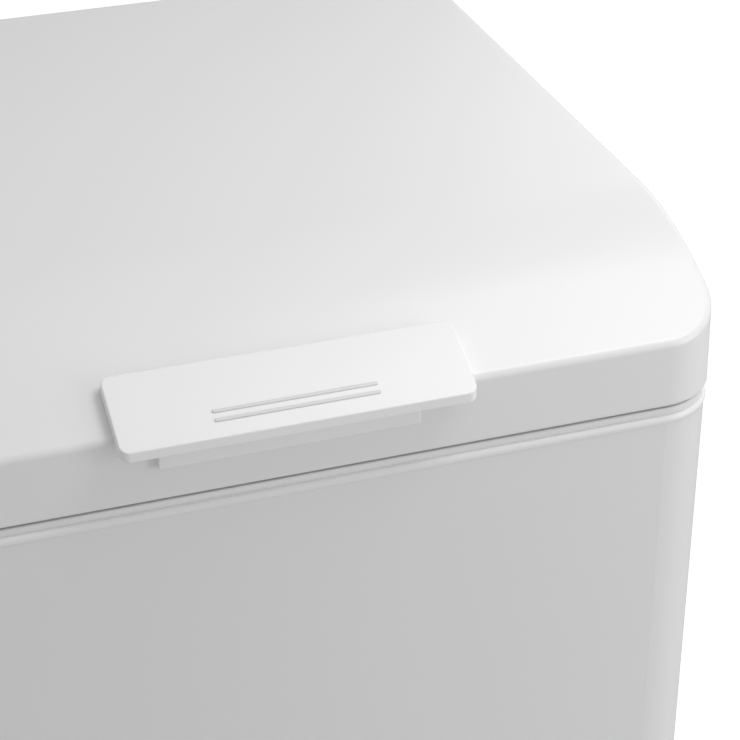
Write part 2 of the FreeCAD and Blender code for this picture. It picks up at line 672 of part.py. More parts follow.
    hose_top = S["WellFloor"] - S["LinerGauge"]
    keep("drain_tube", cut(
        "drain_tube",
        elbow("hose_outer", S["DrainOuter"], front - S["HoseProud"], hose_top),
        elbow("hose_bore", S["DrainBore"], front - PAST, hose_top + PAST),
    ))


def build_spacers():
    """The pads that hold the back off a wall, and the gland for the mains lead."""
    pads = [
        block("spacer_" + name,
              (sign * S["SpacerSpread"] - S["SpacerHalf"], sign * S["SpacerSpread"] + S["SpacerHalf"]),
              (rear, rear + S["SpacerReach"]), (S["SpacerLow"], S["SpacerLow"] + S["SpacerTall"]))
        for name, sign in SIDES
    ]
    keep("rear_spacers", group("rear_spacers", *pads))
    keep("cord_gland", fuse(
        "cord_gland",
        rod("gland_neck", "y", (S["GlandX"], rear - S["GlandDeep"], S["GlandZ"]),
            S["GlandBore"] - S["GlandPlay"], S["GlandDeep"] + S["GlandProud"] / 2),
        rod("gland_collar", "y", (S["GlandX"], rear, S["GlandZ"]), S["GlandCollar"], S["GlandProud"]),
    ))


# ---------------------------------------------------------------- refrigeration circuit


def wound_coil(name, x, y, low, pitch, bend, radius):
    """A tube wound round an upright rectangle, rising a pitch along each turn's rear run."""
    points = [(0, y[0], low)]
    for n in range(COIL_TURNS):
        z = low + n * pitch
        points += [(x[1], y[0], z), (x[1], y[1], z), (x[0], y[1], z + pitch), (x[0], y[0], z + pitch)]
    points.append((0, y[0], low + COIL_TURNS * pitch))
    return keep(name, pipe(name, points, bend, radius))


def build_coils():
    """The evaporator round the liner and the condenser inside the wrapper."""
    tube = value("EvaporatorBore")
    clear = value("LinerGauge") + tube + value("EvaporatorGap")
    reach = inner_side.value + clear
    wound_coil(
        "evaporator_coil", (-reach, reach), (inner_front.value - clear, inner_rear.value + clear),
        value("EvaporatorLow"), value("EvaporatorPitch"), value("LinerCorner") + clear, tube)
    tube = value("CondenserBore")
    clear = value("SheetGauge") + tube + value("CondenserGap")
    reach = side.value - clear
    wound_coil(
        "condenser_coil", (-reach, reach), (front.value + clear, rear.value - clear),
        value("CondenserLow"), value("CondenserPitch"), value("CondenserBend"), tube)


def build_compressor():
    """The compressor with its foot, grommets, bolts and relay cover."""
    pot = doc.addObject("PartDesign::Body", "compressor_pot")
    shell = pot.newObject("PartDesign::AdditiveCylinder", "compressor_pot_wall")
    bind(shell, Radius=S["PotRadius"], Height=S["PotTop"] - S["PotLow"])
    bind(pot, x=S["PotX"], y=S["PotY"], z=S["PotLow"])
    design_fillet(pot, shell, edge_names(shell, lambda b: b.ZLength < 0.01), S["PotRound"])
    keep("compressor", pot)

    reach = S["FootplateHalf"]
    low = S["FootplateLow"]
    thick = S["FootplateThick"]
    hole = S["FootplateHole"]
    plate = block(
        "footplate_sheet", (S["PotX"] - reach, S["PotX"] + reach), (S["PotY"] - reach, S["PotY"] + reach),
        (low, low + thick))
    stand = rod("footplate_stand", "z", (S["PotX"], S["PotY"], low), S["FootplateStand"], S["PotLow"] - low)
    out = reach - S["FootplateEdge"]
    corners = [(S["PotX"] + sx * out, S["PotY"] + sy * out) for sx in (-1, 1) for sy in (-1, 1)]
    holes = [rod("footplate_hole_%d" % n, "z", (*at, low - PAST), hole, 4 * PAST) for n, at in enumerate(corners)]
    keep("compressor_foot", cut("compressor_foot", fuse("footplate_whole", plate, stand), *holes))
    grommets = [
        ring("grommet_%d" % n,
             rod("grommet_body_%d" % n, "z", (*at, pan_top), S["GrommetRadius"], low - pan_top),
             rod("grommet_bore_%d" % n, "z", (*at, pan_top - PAST), hole, 4 * PAST))
        for n, at in enumerate(corners)
    ]
    keep("compressor_grommets", group("compressor_grommets", *grommets))
    bolts = [
        fuse("bolt_%d" % n,
             rod("bolt_shank_%d" % n, "z", (*at, pan_top), S["BoltRadius"], low + thick + S["BoltLap"] - pan_top),
             rod("bolt_head_%d" % n, "z", (*at, low + thick + S["BoltGap"]), S["BoltHead"], S["BoltHeadTall"]))
        for n, at in enumerate(corners)
    ]
    keep("compressor_bolts", group("compressor_bolts", *bolts))

    relay = block(
        "relay_block", (S["PotX"] - S["RelayHalf"], S["PotX"] + S["RelayHalf"]),
        (S["PotY"] - S["PotRadius"] - S["RelayReach"], S["PotY"] - S["RelayBack"]), (S["RelayLow"], S["RelayTop"]))
    clear_of = rod(
        "relay_clear", "z", (S["PotX"], S["PotY"], S["PotLow"]), S["PotRadius"] + S["RelayGap"],
        S["PotTop"] - S["PotLow"])
    keep("start_relay_cover", cut("start_relay_cover", relay, clear_of))


def build_pipework():
    """The drier and the two pipes at the compressor."""
    drier = (S["DrierX"], S["DrierY"])
    radius, neck, taper = S["DrierRadius"], S["DrierNeck"], S["DrierTaper"]
    low, top = S["DrierLow"], S["DrierTop"]
    keep("filter_drier", fuse(
        "filter_drier",
        rod("drier_can", "z", (*drier, low), radius, top - low),
        cone("drier_top", (*drier, top), radius, neck, taper),
        cone("drier_bottom", (*drier, low - taper), neck, radius, taper),
    ))
    pot_x, pot_y, pot_top = value("PotX"), value("PotY"), value("PotTop")
    drier_x, drier_y = value("DrierX"), value("DrierY")
    high = value("DischargeTop")
    keep("discharge_pipe", pipe(
        "discharge_pipe",
        [(pot_x, pot_y, pot_top), (pot_x, pot_y, high), (drier_x, drier_y, high),
         (drier_x, drier_y, (top + taper).value)],
        value("DischargeBend"), value("DischargeRadius")))
    start, end = value("SuctionStart"), value("SuctionEnd")
    keep("suction_pipe", pipe(
        "suction_pipe",
        [(pot_x + start, pot_y + start, pot_top), (pot_x + start, pot_y + start, value("SuctionLow")),
         (pot_x + end, pot_y + end, value("SuctionTop")), (pot_x + end, pot_y + end, value("BayTop"))],
        value("SuctionBend"), value("SuctionRadius")))


# ---------------------------------------------------------------- hinges


def screws(name, places, face, deep, seat):
    """Level screws: the shanks start deep inside a face, and the heads sit on a plate over it."""
    return [
        fuse("%s_screw_%d" % (name, n),
             rod("%s_shank_%d" % (name, n), "y", (px, face - deep, pz), S["ScrewRadius"],
                 deep + seat + S["ScrewNeck"]),
             rod("%s_head_%d" % (name, n), "y", (px, face + seat + S["HeadGap"], pz), S["ScrewHead"],
                 S["ScrewHeadThick"]))
        for n, (px, pz) in enumerate(places)
    ]


def screw_holes(name, places, face):
    """Holes for level screws."""
    return [
        rod("%s_hole_%d" % (name, n), "y", (px, face - PAST, pz), S["ScrewHole"], 4 * PAST)
        for n, (px, pz) in enumerate(places)
    ]


def build_bracket(name, centre):
    """The cabinet's half of a hinge: a plate with two ears. Gives its screws."""
    ear = S["EarInner"]
    thick = S["EarThick"]
    reach = S["HingeReach"] - S["PivotBack"]
    top = bead_low - S["BracketDrop"]
    low = top - S["BracketHeight"]
    parts = [block(
        "bracket_plate_" + name, (centre - S["BracketHalf"], centre + S["BracketHalf"]),
        (rear, rear + S["BracketThick"]), (low, top))]
    for tag, inner in (("a", -ear - thick), ("b", ear)):
        parts.append(block(
            "ear_web_%s_%s" % (tag, name), (centre + inner, centre + inner + thick),
            (pivot_y - reach, pivot_y + reach), (low + S["EarLift"], pivot_z)))
        parts.append(rod("ear_eye_%s_%s" % (tag, name), "x", (centre + inner, pivot_y, pivot_z), reach, thick))
    bore = rod(
        "ear_bore_" + name, "x", (centre - S["BracketHalf"], pivot_y, pivot_z),
        S["PinRadius"] + S["FitPlay"], 2 * S["BracketHalf"])
    spread = S["BracketHoleSpread"]
    heights = (low + S["BracketHoleLow"], low + S["BracketHoleTop"])
    places = [(centre + sx * spread, height) for sx in (-1, 1) for height in heights]
    holes = screw_holes("bracket_" + name, places, rear)
    whole = fuse("bracket_whole_" + name, *parts)
    keep("hinge_bracket_" + name, cut("hinge_bracket_" + name, whole, bore, *holes))
    return screws("bracket_" + name, places, rear, S["BracketScrewDeep"], S["BracketThick"])


def build_leaf(name, centre):
    """The lid's half of a hinge: a plate with a knuckle on a web. Gives its screws."""
    low = pivot_z - S["LeafDrop"]
    left = centre - S["KnuckleLeft"]
    leaf = block(
        "leaf_plate_" + name, (centre - S["LeafHalf"], centre + S["LeafHalf"]),
        (lid_rear, lid_rear + S["LeafThick"]), (low, low + S["LeafHeight"]))
    knuckle = rod("leaf_knuckle_" + name, "x", (left, pivot_y, pivot_z), S["KnuckleRadius"], S["KnuckleLong"])
    web = block(
        "leaf_web_" + name, (left, centre + S["LeafHalf"]), (lid_rear + S["WebInset"], pivot_y - S["PinRadius"]),
        (low, pivot_z + S["LeafDrop"]))
    eye = rod(
        "leaf_bore_" + name, "x", (centre - S["BracketHalf"], pivot_y, pivot_z),
        S["PinRadius"] + S["PinPlay"], 2 * S["BracketHalf"])
    spread = S["LeafHoleSpread"]
    heights = (pivot_z + S["LeafHoleLow"], pivot_z + S["LeafHoleTop"])
    places = [(centre + sx * spread, height) for sx in (-1, 1) for height in heights]
    holes = screw_holes("leaf_" + name, places, lid_rear)
    whole = fuse("leaf_whole_" + name, leaf, knuckle, web)
    keep("hinge_leaf_" + name, cut("hinge_leaf_" + name, whole, eye, *holes))
    return screws("leaf_" + name, places, lid_rear, S["LeafScrewDeep"], S["LeafThick"])


def build_pin(name, centre):
    """A hinge pin with a head at each end."""
    out = S["EarInner"] + S["EarThick"]
    head = S["PinHeadThick"]
    return fuse(
        "hinge_pin_" + name,
        rod("pin_shank_" + name, "x", (centre - out - S["PinEnd"], pivot_y, pivot_z), S["PinRadius"],
            2 * (out + S["PinEnd"])),
        rod("pin_head_a_" + name, "x", (centre - out - S["HeadGap"] - head, pivot_y, pivot_z), S["PinHead"], head),
        rod("pin_head_b_" + name, "x", (centre + out + S["HeadGap"], pivot_y, pivot_z), S["PinHead"], head),
    )


def build_spring(name, centre):
    """The space that a lid spring's coil fills between the left ear and the knuckle."""
    gap = S["SpringGap"]
    start = (centre - S["EarInner"] + gap, pivot_y, pivot_z)
    long = S["EarInner"] - S["KnuckleLeft"] - 2 * gap
    return cut(
        "hinge_spring_" + name,
        rod("spring_outside_" + name, "x", start, S["SpringRadius"] + S["SpringWire"], long),
        rod("spring_inside_" + name, "x", start, S["SpringRadius"] - S["SpringWire"], long),
    )


def build_hinges():
    """Both hinges, with like pieces gathered in one sub-part."""
    cabinet_screws = []
    lid_screws = []
    pins = []
    springs = []
    for name, sign in SIDES:
        centre = sign * S["HingeSpread"]
        cabinet_screws += build_bracket(name, centre)
        lid_screws += build_leaf(name, centre)
        pins.append(build_pin(name, centre))
        springs.append(build_spring(name, centre))
    keep("bracket_screws", group("bracket_screws", *cabinet_screws))
    keep("leaf_screws", group("leaf_screws", *lid_screws))
    keep("hinge_pins", group("hinge_pins", *pins))
    keep("hinge_springs", group("hinge_springs", *springs))


# ---------------------------------------------------------------- feet and rollers


def build_foot(name, sign):
    """A levelling foot: pad, cone and stem."""
    at = (sign * S["FootSpread"], -S["FootForward"])
    pad = S["PadThick"]
    keep("levelling_foot_" + name, fuse(
        "levelling_foot_" + name,
        rod("pad_" + name, "z", (*at, 0), S["PadRadius"], pad),
        cone("pad_cone_" + name, (*at, pad), S["PadRadius"], S["PadConeTop"], S["PadConeTall"]),
        rod("stem_" + name, "z", (*at, S["StemLow"]), S["StemRadius"], S["StemTop"] - S["StemLow"]),
    ))


def build_roller(name, sign):
    """A roller in its fork. Gives the axle."""
    x = sign * S["RollerSpread"]
    y = S["RollerBack"]
    radius = S["RollerRadius"]
    reach = S["RollerHalf"]
    gauge = S["ForkGauge"]
    inside = reach + S["ForkGap"]
    outside = inside + gauge
    end = outside + S["AxleEnd"]
    top = block(
        "roller_top_" + name, (x - outside, x + outside), (y - S["ForkHalf"], y + S["ForkHalf"]),
        (S["PanLift"] - gauge, S["PanLift"]))
    cheeks = [
        block("roller_cheek_%s_%s" % (tag, name), (x + low, x + low + gauge),
              (y - S["CheekHalf"], y + S["CheekHalf"]), (S["CheekLow"], S["PanLift"]))
        for tag, low in (("a", -outside), ("b", inside))
    ]
    bore = rod("cheek_bore_" + name, "x", (x - end, y, radius), S["AxleRadius"] + S["FitPlay"], 2 * end)
    fork = fuse("roller_fork_" + name, top, *cheeks)
    keep("roller_bracket_" + name, cut("roller_bracket_" + name, fork, bore))
    keep("roller_" + name, ring(
        "roller_" + name,
        rod("roller_tread_" + name, "x", (x - reach, y, radius), radius, 2 * reach),
        rod("roller_bore_" + name, "x", (x - end, y, radius), S["AxleRadius"] + S["PinPlay"], 2 * end)))
    return rod("roller_axle_" + name, "x", (x - end, y, radius), S["AxleRadius"], 2 * end)


def build_undercarriage():
    """Two feet at the front and two rollers at the back."""
    axles = []
    for name, sign in SIDES:
        build_foot(name, sign)
        axles.append(build_roller(name, sign))
    keep("roller_axles", group("roller_axles", *axles))


# ---------------------------------------------------------------- basket


def grid_wall(name, x, y, z, across, columns, rows):
    """A flat wire wall: a thin plate with square windows, so that bars are left between them."""
    sheet_block = block(name + "_plate", x, y, z)
    bar = S["BasketBar"]
    spans = {"x": x, "y": y, "z": z}
    first, second = [axis for axis in "xyz" if axis != across]
    windows = []
    for column in range(columns):
        for row in range(rows):
            box = {across: (length(spans[across][0]) - PAST, length(spans[across][1]) + PAST)}
            for axis, place, count in ((first, column, columns), (second, row, rows)):
                low, high = length(spans[axis][0]), length(spans[axis][1])
                pitch = (high - low - bar) / count
                box[axis] = (low + bar + pitch * place, low + pitch * (place + 1))
            windows.append(block("%s_window_%d_%d" % (name, column, row), box["x"], box["y"], box["z"]))
    return keep(name, cut(name, sheet_block, *windows))


def build_basket():
    """The sliding basket: floor, four walls, rim wire and two grips."""
    bar = S["BasketBar"]
    lift = S["BasketLift"]
    x = (S["BasketLeft"], S["BasketRight"])
    y = (inner_front + S["BasketGap"], inner_rear - S["BasketGap"])
    z = (S["BasketFloor"], ledge + lift)
    grid_wall("basket_floor", x, y, (z[0], z[0] + bar), "z", *FLOOR_GRID)
    walls = (z[0] + bar, z[1])
    grid_wall("basket_front", x, (y[0], y[0] + bar), walls, "y", *END_GRID)
    grid_wall("basket_back", x, (y[1] - bar, y[1]), walls, "y", *END_GRID)
    between = (y[0] + bar, y[1] - bar)
    grid_wall("basket_left", (x[0], x[0] + bar), between, walls, "x", *SIDE_GRID)
    grid_wall("basket_right", (x[1] - bar, x[1]), between, walls, "x", *SIDE_GRID)

    wire = bar.value
    height = z[1].value + wire
    left, right = x[0].value + wire, x[1].value - wire
    near, far = y[0].value - wire, y[1].value + wire
    middle = (left + right) / 2
    loop = [(middle, near, height), (right, near, height), (right, far, height), (left, far, height),
            (left, near, height), (middle, near, height)]
    keep("basket_rim", pipe("basket_rim", loop, value("BasketBend"), wire))
    grip_spans = ((x[0] - S["GripOut"], x[0] + S["GripIn"]), (x[1] - S["GripIn"], x[1] + S["GripOut"]))
    grips = [
        block("grip_%d" % n, span, (-S["GripHalf"], S["GripHalf"]), (z[1] + 2 * bar, ledge + S["GripTop"]))
        for n, span in enumerate(grip_spans)
    ]
    keep("basket_grips", group("basket_grips", *grips))


# ---------------------------------------------------------------- controls and drain


def build_panel(face):
    """The control panel, with its lamps."""
    plate = block("panel_plate", (S["PanelLeft"], S["PanelRight"]), (face, front), (S["PanelLow"], S["PanelTop"]))
    behind = (face - PAST, front + PAST)
    shaft_bore = rod(
        "panel_shaft_bore", "y", (S["KnobX"], behind[0], S["KnobZ"]), S["ShaftRadius"] + S["PinPlay"], 4 * PAST)
    reach, rise = S["RockerWindowHalf"], S["RockerWindowRise"]
    window = block(
        "rocker_window", (S["RockerX"] - reach, S["RockerX"] + reach), behind,
        (S["RockerZ"] - rise, S["RockerZ"] + rise))
    places = [S["RockerX"] + S["LampPitch"] * n for n in (-1, 0, 1)]
    holes = [rod("lamp_hole_%d" % n, "y", (px, behind[0], S["LampZ"]), S["LampRadius"], 4 * PAST)
             for n, px in enumerate(places)]
    keep("control_panel", cut("control_panel", plate, shaft_bore, window, *holes))
    lamps = [rod("lamp_%d" % n, "y", (px, face - S["LampProud"], S["LampZ"]), S["LampRadius"], S["LampLong"])
             for n, px in enumerate(places)]
    keep("indicator_lamps", group("indicator_lamps", *lamps))


def build_thermostat(face):
    """The thermostat: its body behind the panel, its shaft, and the knob with a pointer groove."""
    x, z = S["KnobX"], S["KnobZ"]
    case = block(
        "thermostat_case", (x - S["CaseHalf"], x + S["CaseHalf"]), (front + S["CaseGap"], front + S["CaseBack"]),
        (z - S["CaseRise"], z + S["CaseRise"]))
    well = rod("thermostat_bore", "y", (x, front, z), S["ShaftRadius"] + S["PinPlay"], S["CaseBore"])
    keep("thermostat_body", cut("thermostat_body", case, well))
    crown = face - S["KnobGap"] - S["KnobDepth"]
    disc = rod("knob_disc", "y", (x, crown, z), S["KnobRadius"], S["KnobDepth"])
    pointer = block(
        "knob_pointer", (x - S["PointerHalf"], x + S["PointerHalf"]), (crown - PAST, crown + S["PointerDeep"]),
        (z + S["PointerLow"], z + S["PointerTop"]))
    start = (x, face - S["ShaftProud"], z)
    socket = rod("knob_socket", "y", start, S["ShaftRadius"], 2 * PAST)
    keep("thermostat_knob", cut("thermostat_knob", disc, pointer, socket))
    keep("thermostat_shaft", rod("thermostat_shaft", "y", start, S["ShaftRadius"], S["ShaftLong"]))


def build_switch():
    """The fast-freeze rocker: a drum whose upper face is shaved flat, at a tilt."""
    x, z = S["RockerX"], S["RockerZ"]
    radius = S["RockerRadius"]
    drum = rod("rocker_drum", "x", (x - S["RockerHalf"], front, z), radius, 2 * S["RockerHalf"])
    tilt = FreeCAD.Rotation(FreeCAD.Vector(1, 0, 0), value("RockerTilt"))
    out = radius + 1
    shave = bind(
        doc.addObject("Part::Box", "rocker_shave"),
        Length=4 * PAST, Width=out - S["RockerFlat"], Height=4 * PAST)
    shave.Placement = FreeCAD.Placement(
        FreeCAD.Vector(x.value - 2 * PAST, front.value, z.value)
        + tilt.multVec(FreeCAD.Vector(0, -out.value, -2 * PAST)), tilt)
    keep("fast_freeze_switch", cut("fast_freeze_switch", drum, shave))


def build_controls():
    """The panel, thermostat and switch."""
    face = front - S["PanelProud"]
    build_panel(face)
    build_thermostat(face)
    build_switch()


def build_drain():
    """The drain's two stoppers: a plug in the well's floor and a cap on the front."""
    x, y = S["DrainX"], S["DrainY"]
    floor = S["WellFloor"]
    stem_radius = S["DrainBore"] - S["StopperPlay"]
    gap = S["StopperGap"]
    stem = S["StopperStem"]
    head = S["StopperThick"]
    keep("drain_plug", fuse(
        "drain_plug",
        rod("plug_stem", "z", (x, y, floor - stem), stem_radius, stem + gap + head / 2),
        rod("plug_head", "z", (x, y, floor + gap), S["StopperHead"], head),
        block("plug_tab", (x - S["TabHalf"], x + S["TabHalf"]), (y - S["TabThin"], y + S["TabThin"]),
              (floor + head, floor + S["TabTop"])),
    ))
    mouth = front - S["HoseProud"]
    thick = S["CapThick"]
    keep("drain_cap", fuse(
        "drain_cap",
        rod("cap_disc", "y", (x, mouth - gap - thick, S["DrainZ"]), S["CapRadius"], thick),
        rod("cap_stem", "y", (x, mouth - gap - thick / 2, S["DrainZ"]), stem_radius,
            S["CapStem"] + gap + thick / 2),
    ))


# ---------------------------------------------------------------- build, check and write

build_lid()
build_handle()
build_cabinet()
build_spacers()
build_coils()
build_compressor()
build_pipework()
build_hinges()
build_undercarriage()
build_basket()
build_controls()
build_drain()
doc.recompute()

for item in doc.Objects:
    if {"Invalid", "Error"} & set(item.State):
        raise RuntimeError("%s did not recompute: %s" % (item.Name, item.State))
for name, item in PARTS.items():
    if item.Shape.isNull() or not item.Shape.isValid() or not item.Shape.Solids:
        raise RuntimeError("%s has no valid solid" % name)

os.makedirs("parts", exist_ok=True)
for name, item in PARTS.items():
    item.Shape.exportStep(os.path.join("parts", name + ".step"))

whole = FreeCAD.BoundBox()
for item in PARTS.values():
    whole.add(item.Shape.optimalBoundingBox())
print("%d sub-parts, box %.1f %.1f %.1f to %.1f %.1f %.1f" % (
    len(PARTS), whole.XMin, whole.YMin, whole.ZMin, whole.XMax, whole.YMax, whole.ZMax))
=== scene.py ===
"""Visual model of a small chest freezer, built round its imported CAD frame.

Lengths are metres. The lid slopes at the front, -Y, and the machine bay is towards +X.
"""

from __future__ import annotations

import json
import logging
import math
from dataclasses import dataclass, field
from enum import Enum
from typing import Callable, Sequence

import bpy
import numpy as np
from mathutils import Matrix, Vector

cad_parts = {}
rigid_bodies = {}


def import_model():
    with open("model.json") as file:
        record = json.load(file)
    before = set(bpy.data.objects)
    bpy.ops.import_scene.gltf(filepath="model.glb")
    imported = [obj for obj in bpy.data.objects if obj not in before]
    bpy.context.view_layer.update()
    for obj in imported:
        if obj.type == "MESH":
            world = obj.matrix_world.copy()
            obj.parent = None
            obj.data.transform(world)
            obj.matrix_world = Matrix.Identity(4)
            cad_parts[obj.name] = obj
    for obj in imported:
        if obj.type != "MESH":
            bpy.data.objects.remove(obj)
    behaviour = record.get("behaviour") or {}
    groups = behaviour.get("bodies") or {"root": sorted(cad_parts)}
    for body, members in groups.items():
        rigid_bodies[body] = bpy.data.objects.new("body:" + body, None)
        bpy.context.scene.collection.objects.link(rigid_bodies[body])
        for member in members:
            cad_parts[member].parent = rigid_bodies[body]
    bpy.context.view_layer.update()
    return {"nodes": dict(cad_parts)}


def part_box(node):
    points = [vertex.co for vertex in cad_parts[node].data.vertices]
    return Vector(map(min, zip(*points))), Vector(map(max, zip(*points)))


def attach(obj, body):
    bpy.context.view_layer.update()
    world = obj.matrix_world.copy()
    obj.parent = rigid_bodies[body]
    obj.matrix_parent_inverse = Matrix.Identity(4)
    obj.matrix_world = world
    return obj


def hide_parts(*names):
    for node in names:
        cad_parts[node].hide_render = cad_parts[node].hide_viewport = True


LOG = logging.getLogger("freezer")
MM = 0.001
Array = np.ndarray


class Side(Enum):
    """The two sides of the cabinet, as a sign along X."""

    LEFT = -1
    RIGHT = 1

    @property
    def word(self) -> str:
        """The side's name as the nodes spell it."""
        return self.name.lower()


# ---------------------------------------------------------------- shader expressions


class Socket:
    """A shader value that adds its Math nodes as Python operators are used on it."""

    def __init__(self, nodes: Nodes, link: bpy.types.NodeSocket) -> None:
        self.nodes = nodes
        self.link = link

    def _maths(self, operation: str, first: Number, second: Number) -> Socket:
        """Adds one Math node for two terms."""
        return self.nodes.add("ShaderNodeMath", {"operation": operation}, {0: first, 1: second})

    def __add__(self, other: Number) -> Socket:
        """self + other."""
        return self._maths("ADD", self, other)

    __radd__ = __add__

    def __sub__(self, other: Number) -> Socket:
        """self - other."""
        return self._maths("SUBTRACT", self, other)

    def __rsub__(self, other: Number) -> Socket:
        """other - self."""
        return self._maths("SUBTRACT", other, self)

    def __mul__(self, other: Number) -> Socket:
        """self * other."""
        return self._maths("MULTIPLY", self, other)

    __rmul__ = __mul__


Number = Socket | float


class Nodes:
    """The node tree of one material."""

    def __init__(self, name: str) -> None:
        self.material = bpy.data.materials.new(name)
        self.material.use_nodes = True
        self.tree = self.material.node_tree
        self.tree.nodes.clear()
        self.output = self.tree.nodes.new("ShaderNodeOutputMaterial")

    def add(self, kind: str, settings: dict, inputs: dict, out: int | str = 0) -> Socket:
        """Adds any node.

        Args:
            kind: the node's type.
            settings: attributes that are set first.
            inputs: socket name or number to a value or a Socket.
            out: which output is given back.

        Returns:
            The chosen output.
        """
        node = self.tree.nodes.new(kind)
        for key, setting in settings.items():
            setattr(node, key, setting)
        for key, given in inputs.items():
            if isinstance(given, Socket):
                self.tree.links.new(given.link, node.inputs[key])
            else:
                node.inputs[key].default_value = given
        return Socket(self, node.outputs[out])

    def place(self) -> Socket:
        """Object coordinates, in metres."""
        return self.add("ShaderNodeTexCoord", {}, {}, "Object")

    def noise(self, scale: float, detail: float) -> Socket:
        """Noise between 0 and 1 on object coordinates."""
        return self.add("ShaderNodeTexNoise", {}, {"Vector": self.place(), "Scale": scale, "Detail": detail})

    def between(self, low: Sequence[float], high: Sequence[float], mask: Socket) -> Socket:
        """Mixes two colours by a mask."""
        return self.add(
            "ShaderNodeMix", {"data_type": "RGBA"}, {"Factor": mask, "A": (*low, 1.0), "B": (*high, 1.0)}, 2)

    def bump(self, mask: Socket, strength: float, depth: float) -> Socket:
        """A Bump node's normal."""
        return self.add("ShaderNodeBump", {}, {"Height": mask, "Strength": strength, "Distance": depth})

    def show(self, shader: Socket) -> None:
        """Joins a shader to the output."""
        self.tree.links.new(shader.link, self.output.inputs["Surface"])

    def finish(self, values: dict) -> bpy.types.Material:
        """Adds the main shader, joins it to the output and gives back the material."""
        self.show(self.add("ShaderNodeBsdfPrincipled", {}, values))
        return self.material


@dataclass(frozen=True)
class Finish:
    """A surface finish: a colour that wanders slightly, a roughness that does too, and a fine relief."""

    name: str
    colour: tuple[float, float, float]
    roughness: float
    metallic: float = 0.0
    coat: float = 0.0
    coat_roughness: float = 0.22
    wander: float = 0.03
    wander_scale: float = 6.0
    patchy: float = 0.04
    grain_scale: float = 900.0
    grain_depth: float = 0.00002
    grain_strength: float = 0.15
    ior: float = 1.5

    def material(self) -> bpy.types.Material:
        """The finish as a procedural material."""
        nodes = Nodes(self.name)
        broad = nodes.noise(self.wander_scale, 3.0)
        fine = nodes.noise(self.grain_scale, 2.0)
        dark = tuple(channel * (1.0 - self.wander) for channel in self.colour)
        return nodes.finish({
            "Base Color": nodes.between(dark, self.colour, broad),
            "Roughness": self.roughness + self.patchy * (nodes.noise(self.wander_scale * 9, 4.0) - 0.5),
            "Metallic": self.metallic,
            "Coat Weight": self.coat,
            "Coat Roughness": self.coat_roughness,
            "IOR": self.ior,
            "Normal": nodes.bump(fine, self.grain_strength, self.grain_depth),
        })


class Paint(Enum):
    """Every finish on the appliance."""

    LID = Finish("lid_gloss_white", (0.82, 0.82, 0.82), 0.38, coat=0.15, coat_roughness=0.30, wander=0.012,
                 grain_strength=0.05)
    PLATE = Finish("plate_white", (0.88, 0.88, 0.88), 0.42, wander=0.01, grain_strength=0.06)
    # The ribs are moulded in the plate's white; the darker grey here is painted shade on the raised ribs.
    RIB = Finish("rib_grey", (0.74, 0.74, 0.75), 0.45, wander=0.02)
    BODY = Finish("cabinet_enamel", (0.80, 0.80, 0.803), 0.34, coat=0.2, wander=0.015,
                  grain_scale=500.0)
    RIM = Finish("rim_white", (0.86, 0.86, 0.862), 0.36, wander=0.02)
    LINER = Finish("liner_coated", (0.78, 0.80, 0.82), 0.38, wander=0.03, grain_scale=220.0,
                   grain_strength=0.35, grain_depth=0.0002)
    LID_LINER = Finish("lid_liner_white", (0.80, 0.81, 0.82), 0.42, wander=0.02)
    GASKET = Finish("gasket_grey", (0.36, 0.37, 0.38), 0.62, wander=0.08)
    GALVANISED = Finish("galvanised", (0.56, 0.58, 0.60), 0.40, metallic=0.9, wander=0.25, wander_scale=40.0,
                        patchy=0.18)
    FOAM = Finish("foam", (0.78, 0.68, 0.42), 0.95, wander=0.15, wander_scale=60.0)
    BLACK_PAINT = Finish("compressor_black", (0.02, 0.02, 0.022), 0.38, wander=0.3, wander_scale=30.0)
    BLACK_PLASTIC = Finish("black_plastic", (0.03, 0.03, 0.032), 0.55, wander=0.15,
                           grain_strength=0.35)
    RUBBER = Finish("rubber", (0.035, 0.035, 0.036), 0.8, wander=0.2, wander_scale=50.0)
    COPPER = Finish("copper", (0.72, 0.36, 0.22), 0.32, metallic=1.0, wander=0.25, wander_scale=50.0,
                    patchy=0.2)
    ALUMINIUM = Finish("aluminium_tube", (0.72, 0.73, 0.74), 0.35, metallic=1.0, wander=0.08)
    ZINC = Finish("bright_zinc", (0.66, 0.67, 0.68), 0.28, metallic=1.0, wander=0.12, wander_scale=90.0)
    POWDER = Finish("powder_white", (0.74, 0.74, 0.75), 0.5, wander=0.03, grain_scale=1400.0,
                    grain_strength=0.4)
    PANEL = Finish("panel_satin", (0.62, 0.63, 0.64), 0.48, wander=0.03, grain_strength=0.25)
    CONTROL = Finish("control_white", (0.78, 0.78, 0.78), 0.3, wander=0.02)
    HOSE = Finish("hose_grey", (0.34, 0.35, 0.36), 0.5, wander=0.08)
    LAMP = Finish("lamp_green", (0.10, 0.50, 0.16), 0.15, coat=0.6, wander=0.1)
    WIRE = Finish("basket_wire", (0.76, 0.76, 0.77), 0.33, coat=0.3, wander=0.02)
    GRIP = Finish("grip_grey", (0.44, 0.45, 0.46), 0.5, wander=0.05, grain_strength=0.3)


class Paintbox:
    """Makes each finish's material once."""

    def __init__(self) -> None:
        self._made: dict[Paint, bpy.types.Material] = {}

    def get(self, paint: Paint) -> bpy.types.Material:
        """The material of a finish."""
        if paint not in self._made:
            self._made[paint] = paint.value.material()
        return self._made[paint]


PAINTS = Paintbox()

# ---------------------------------------------------------------- mesh tools


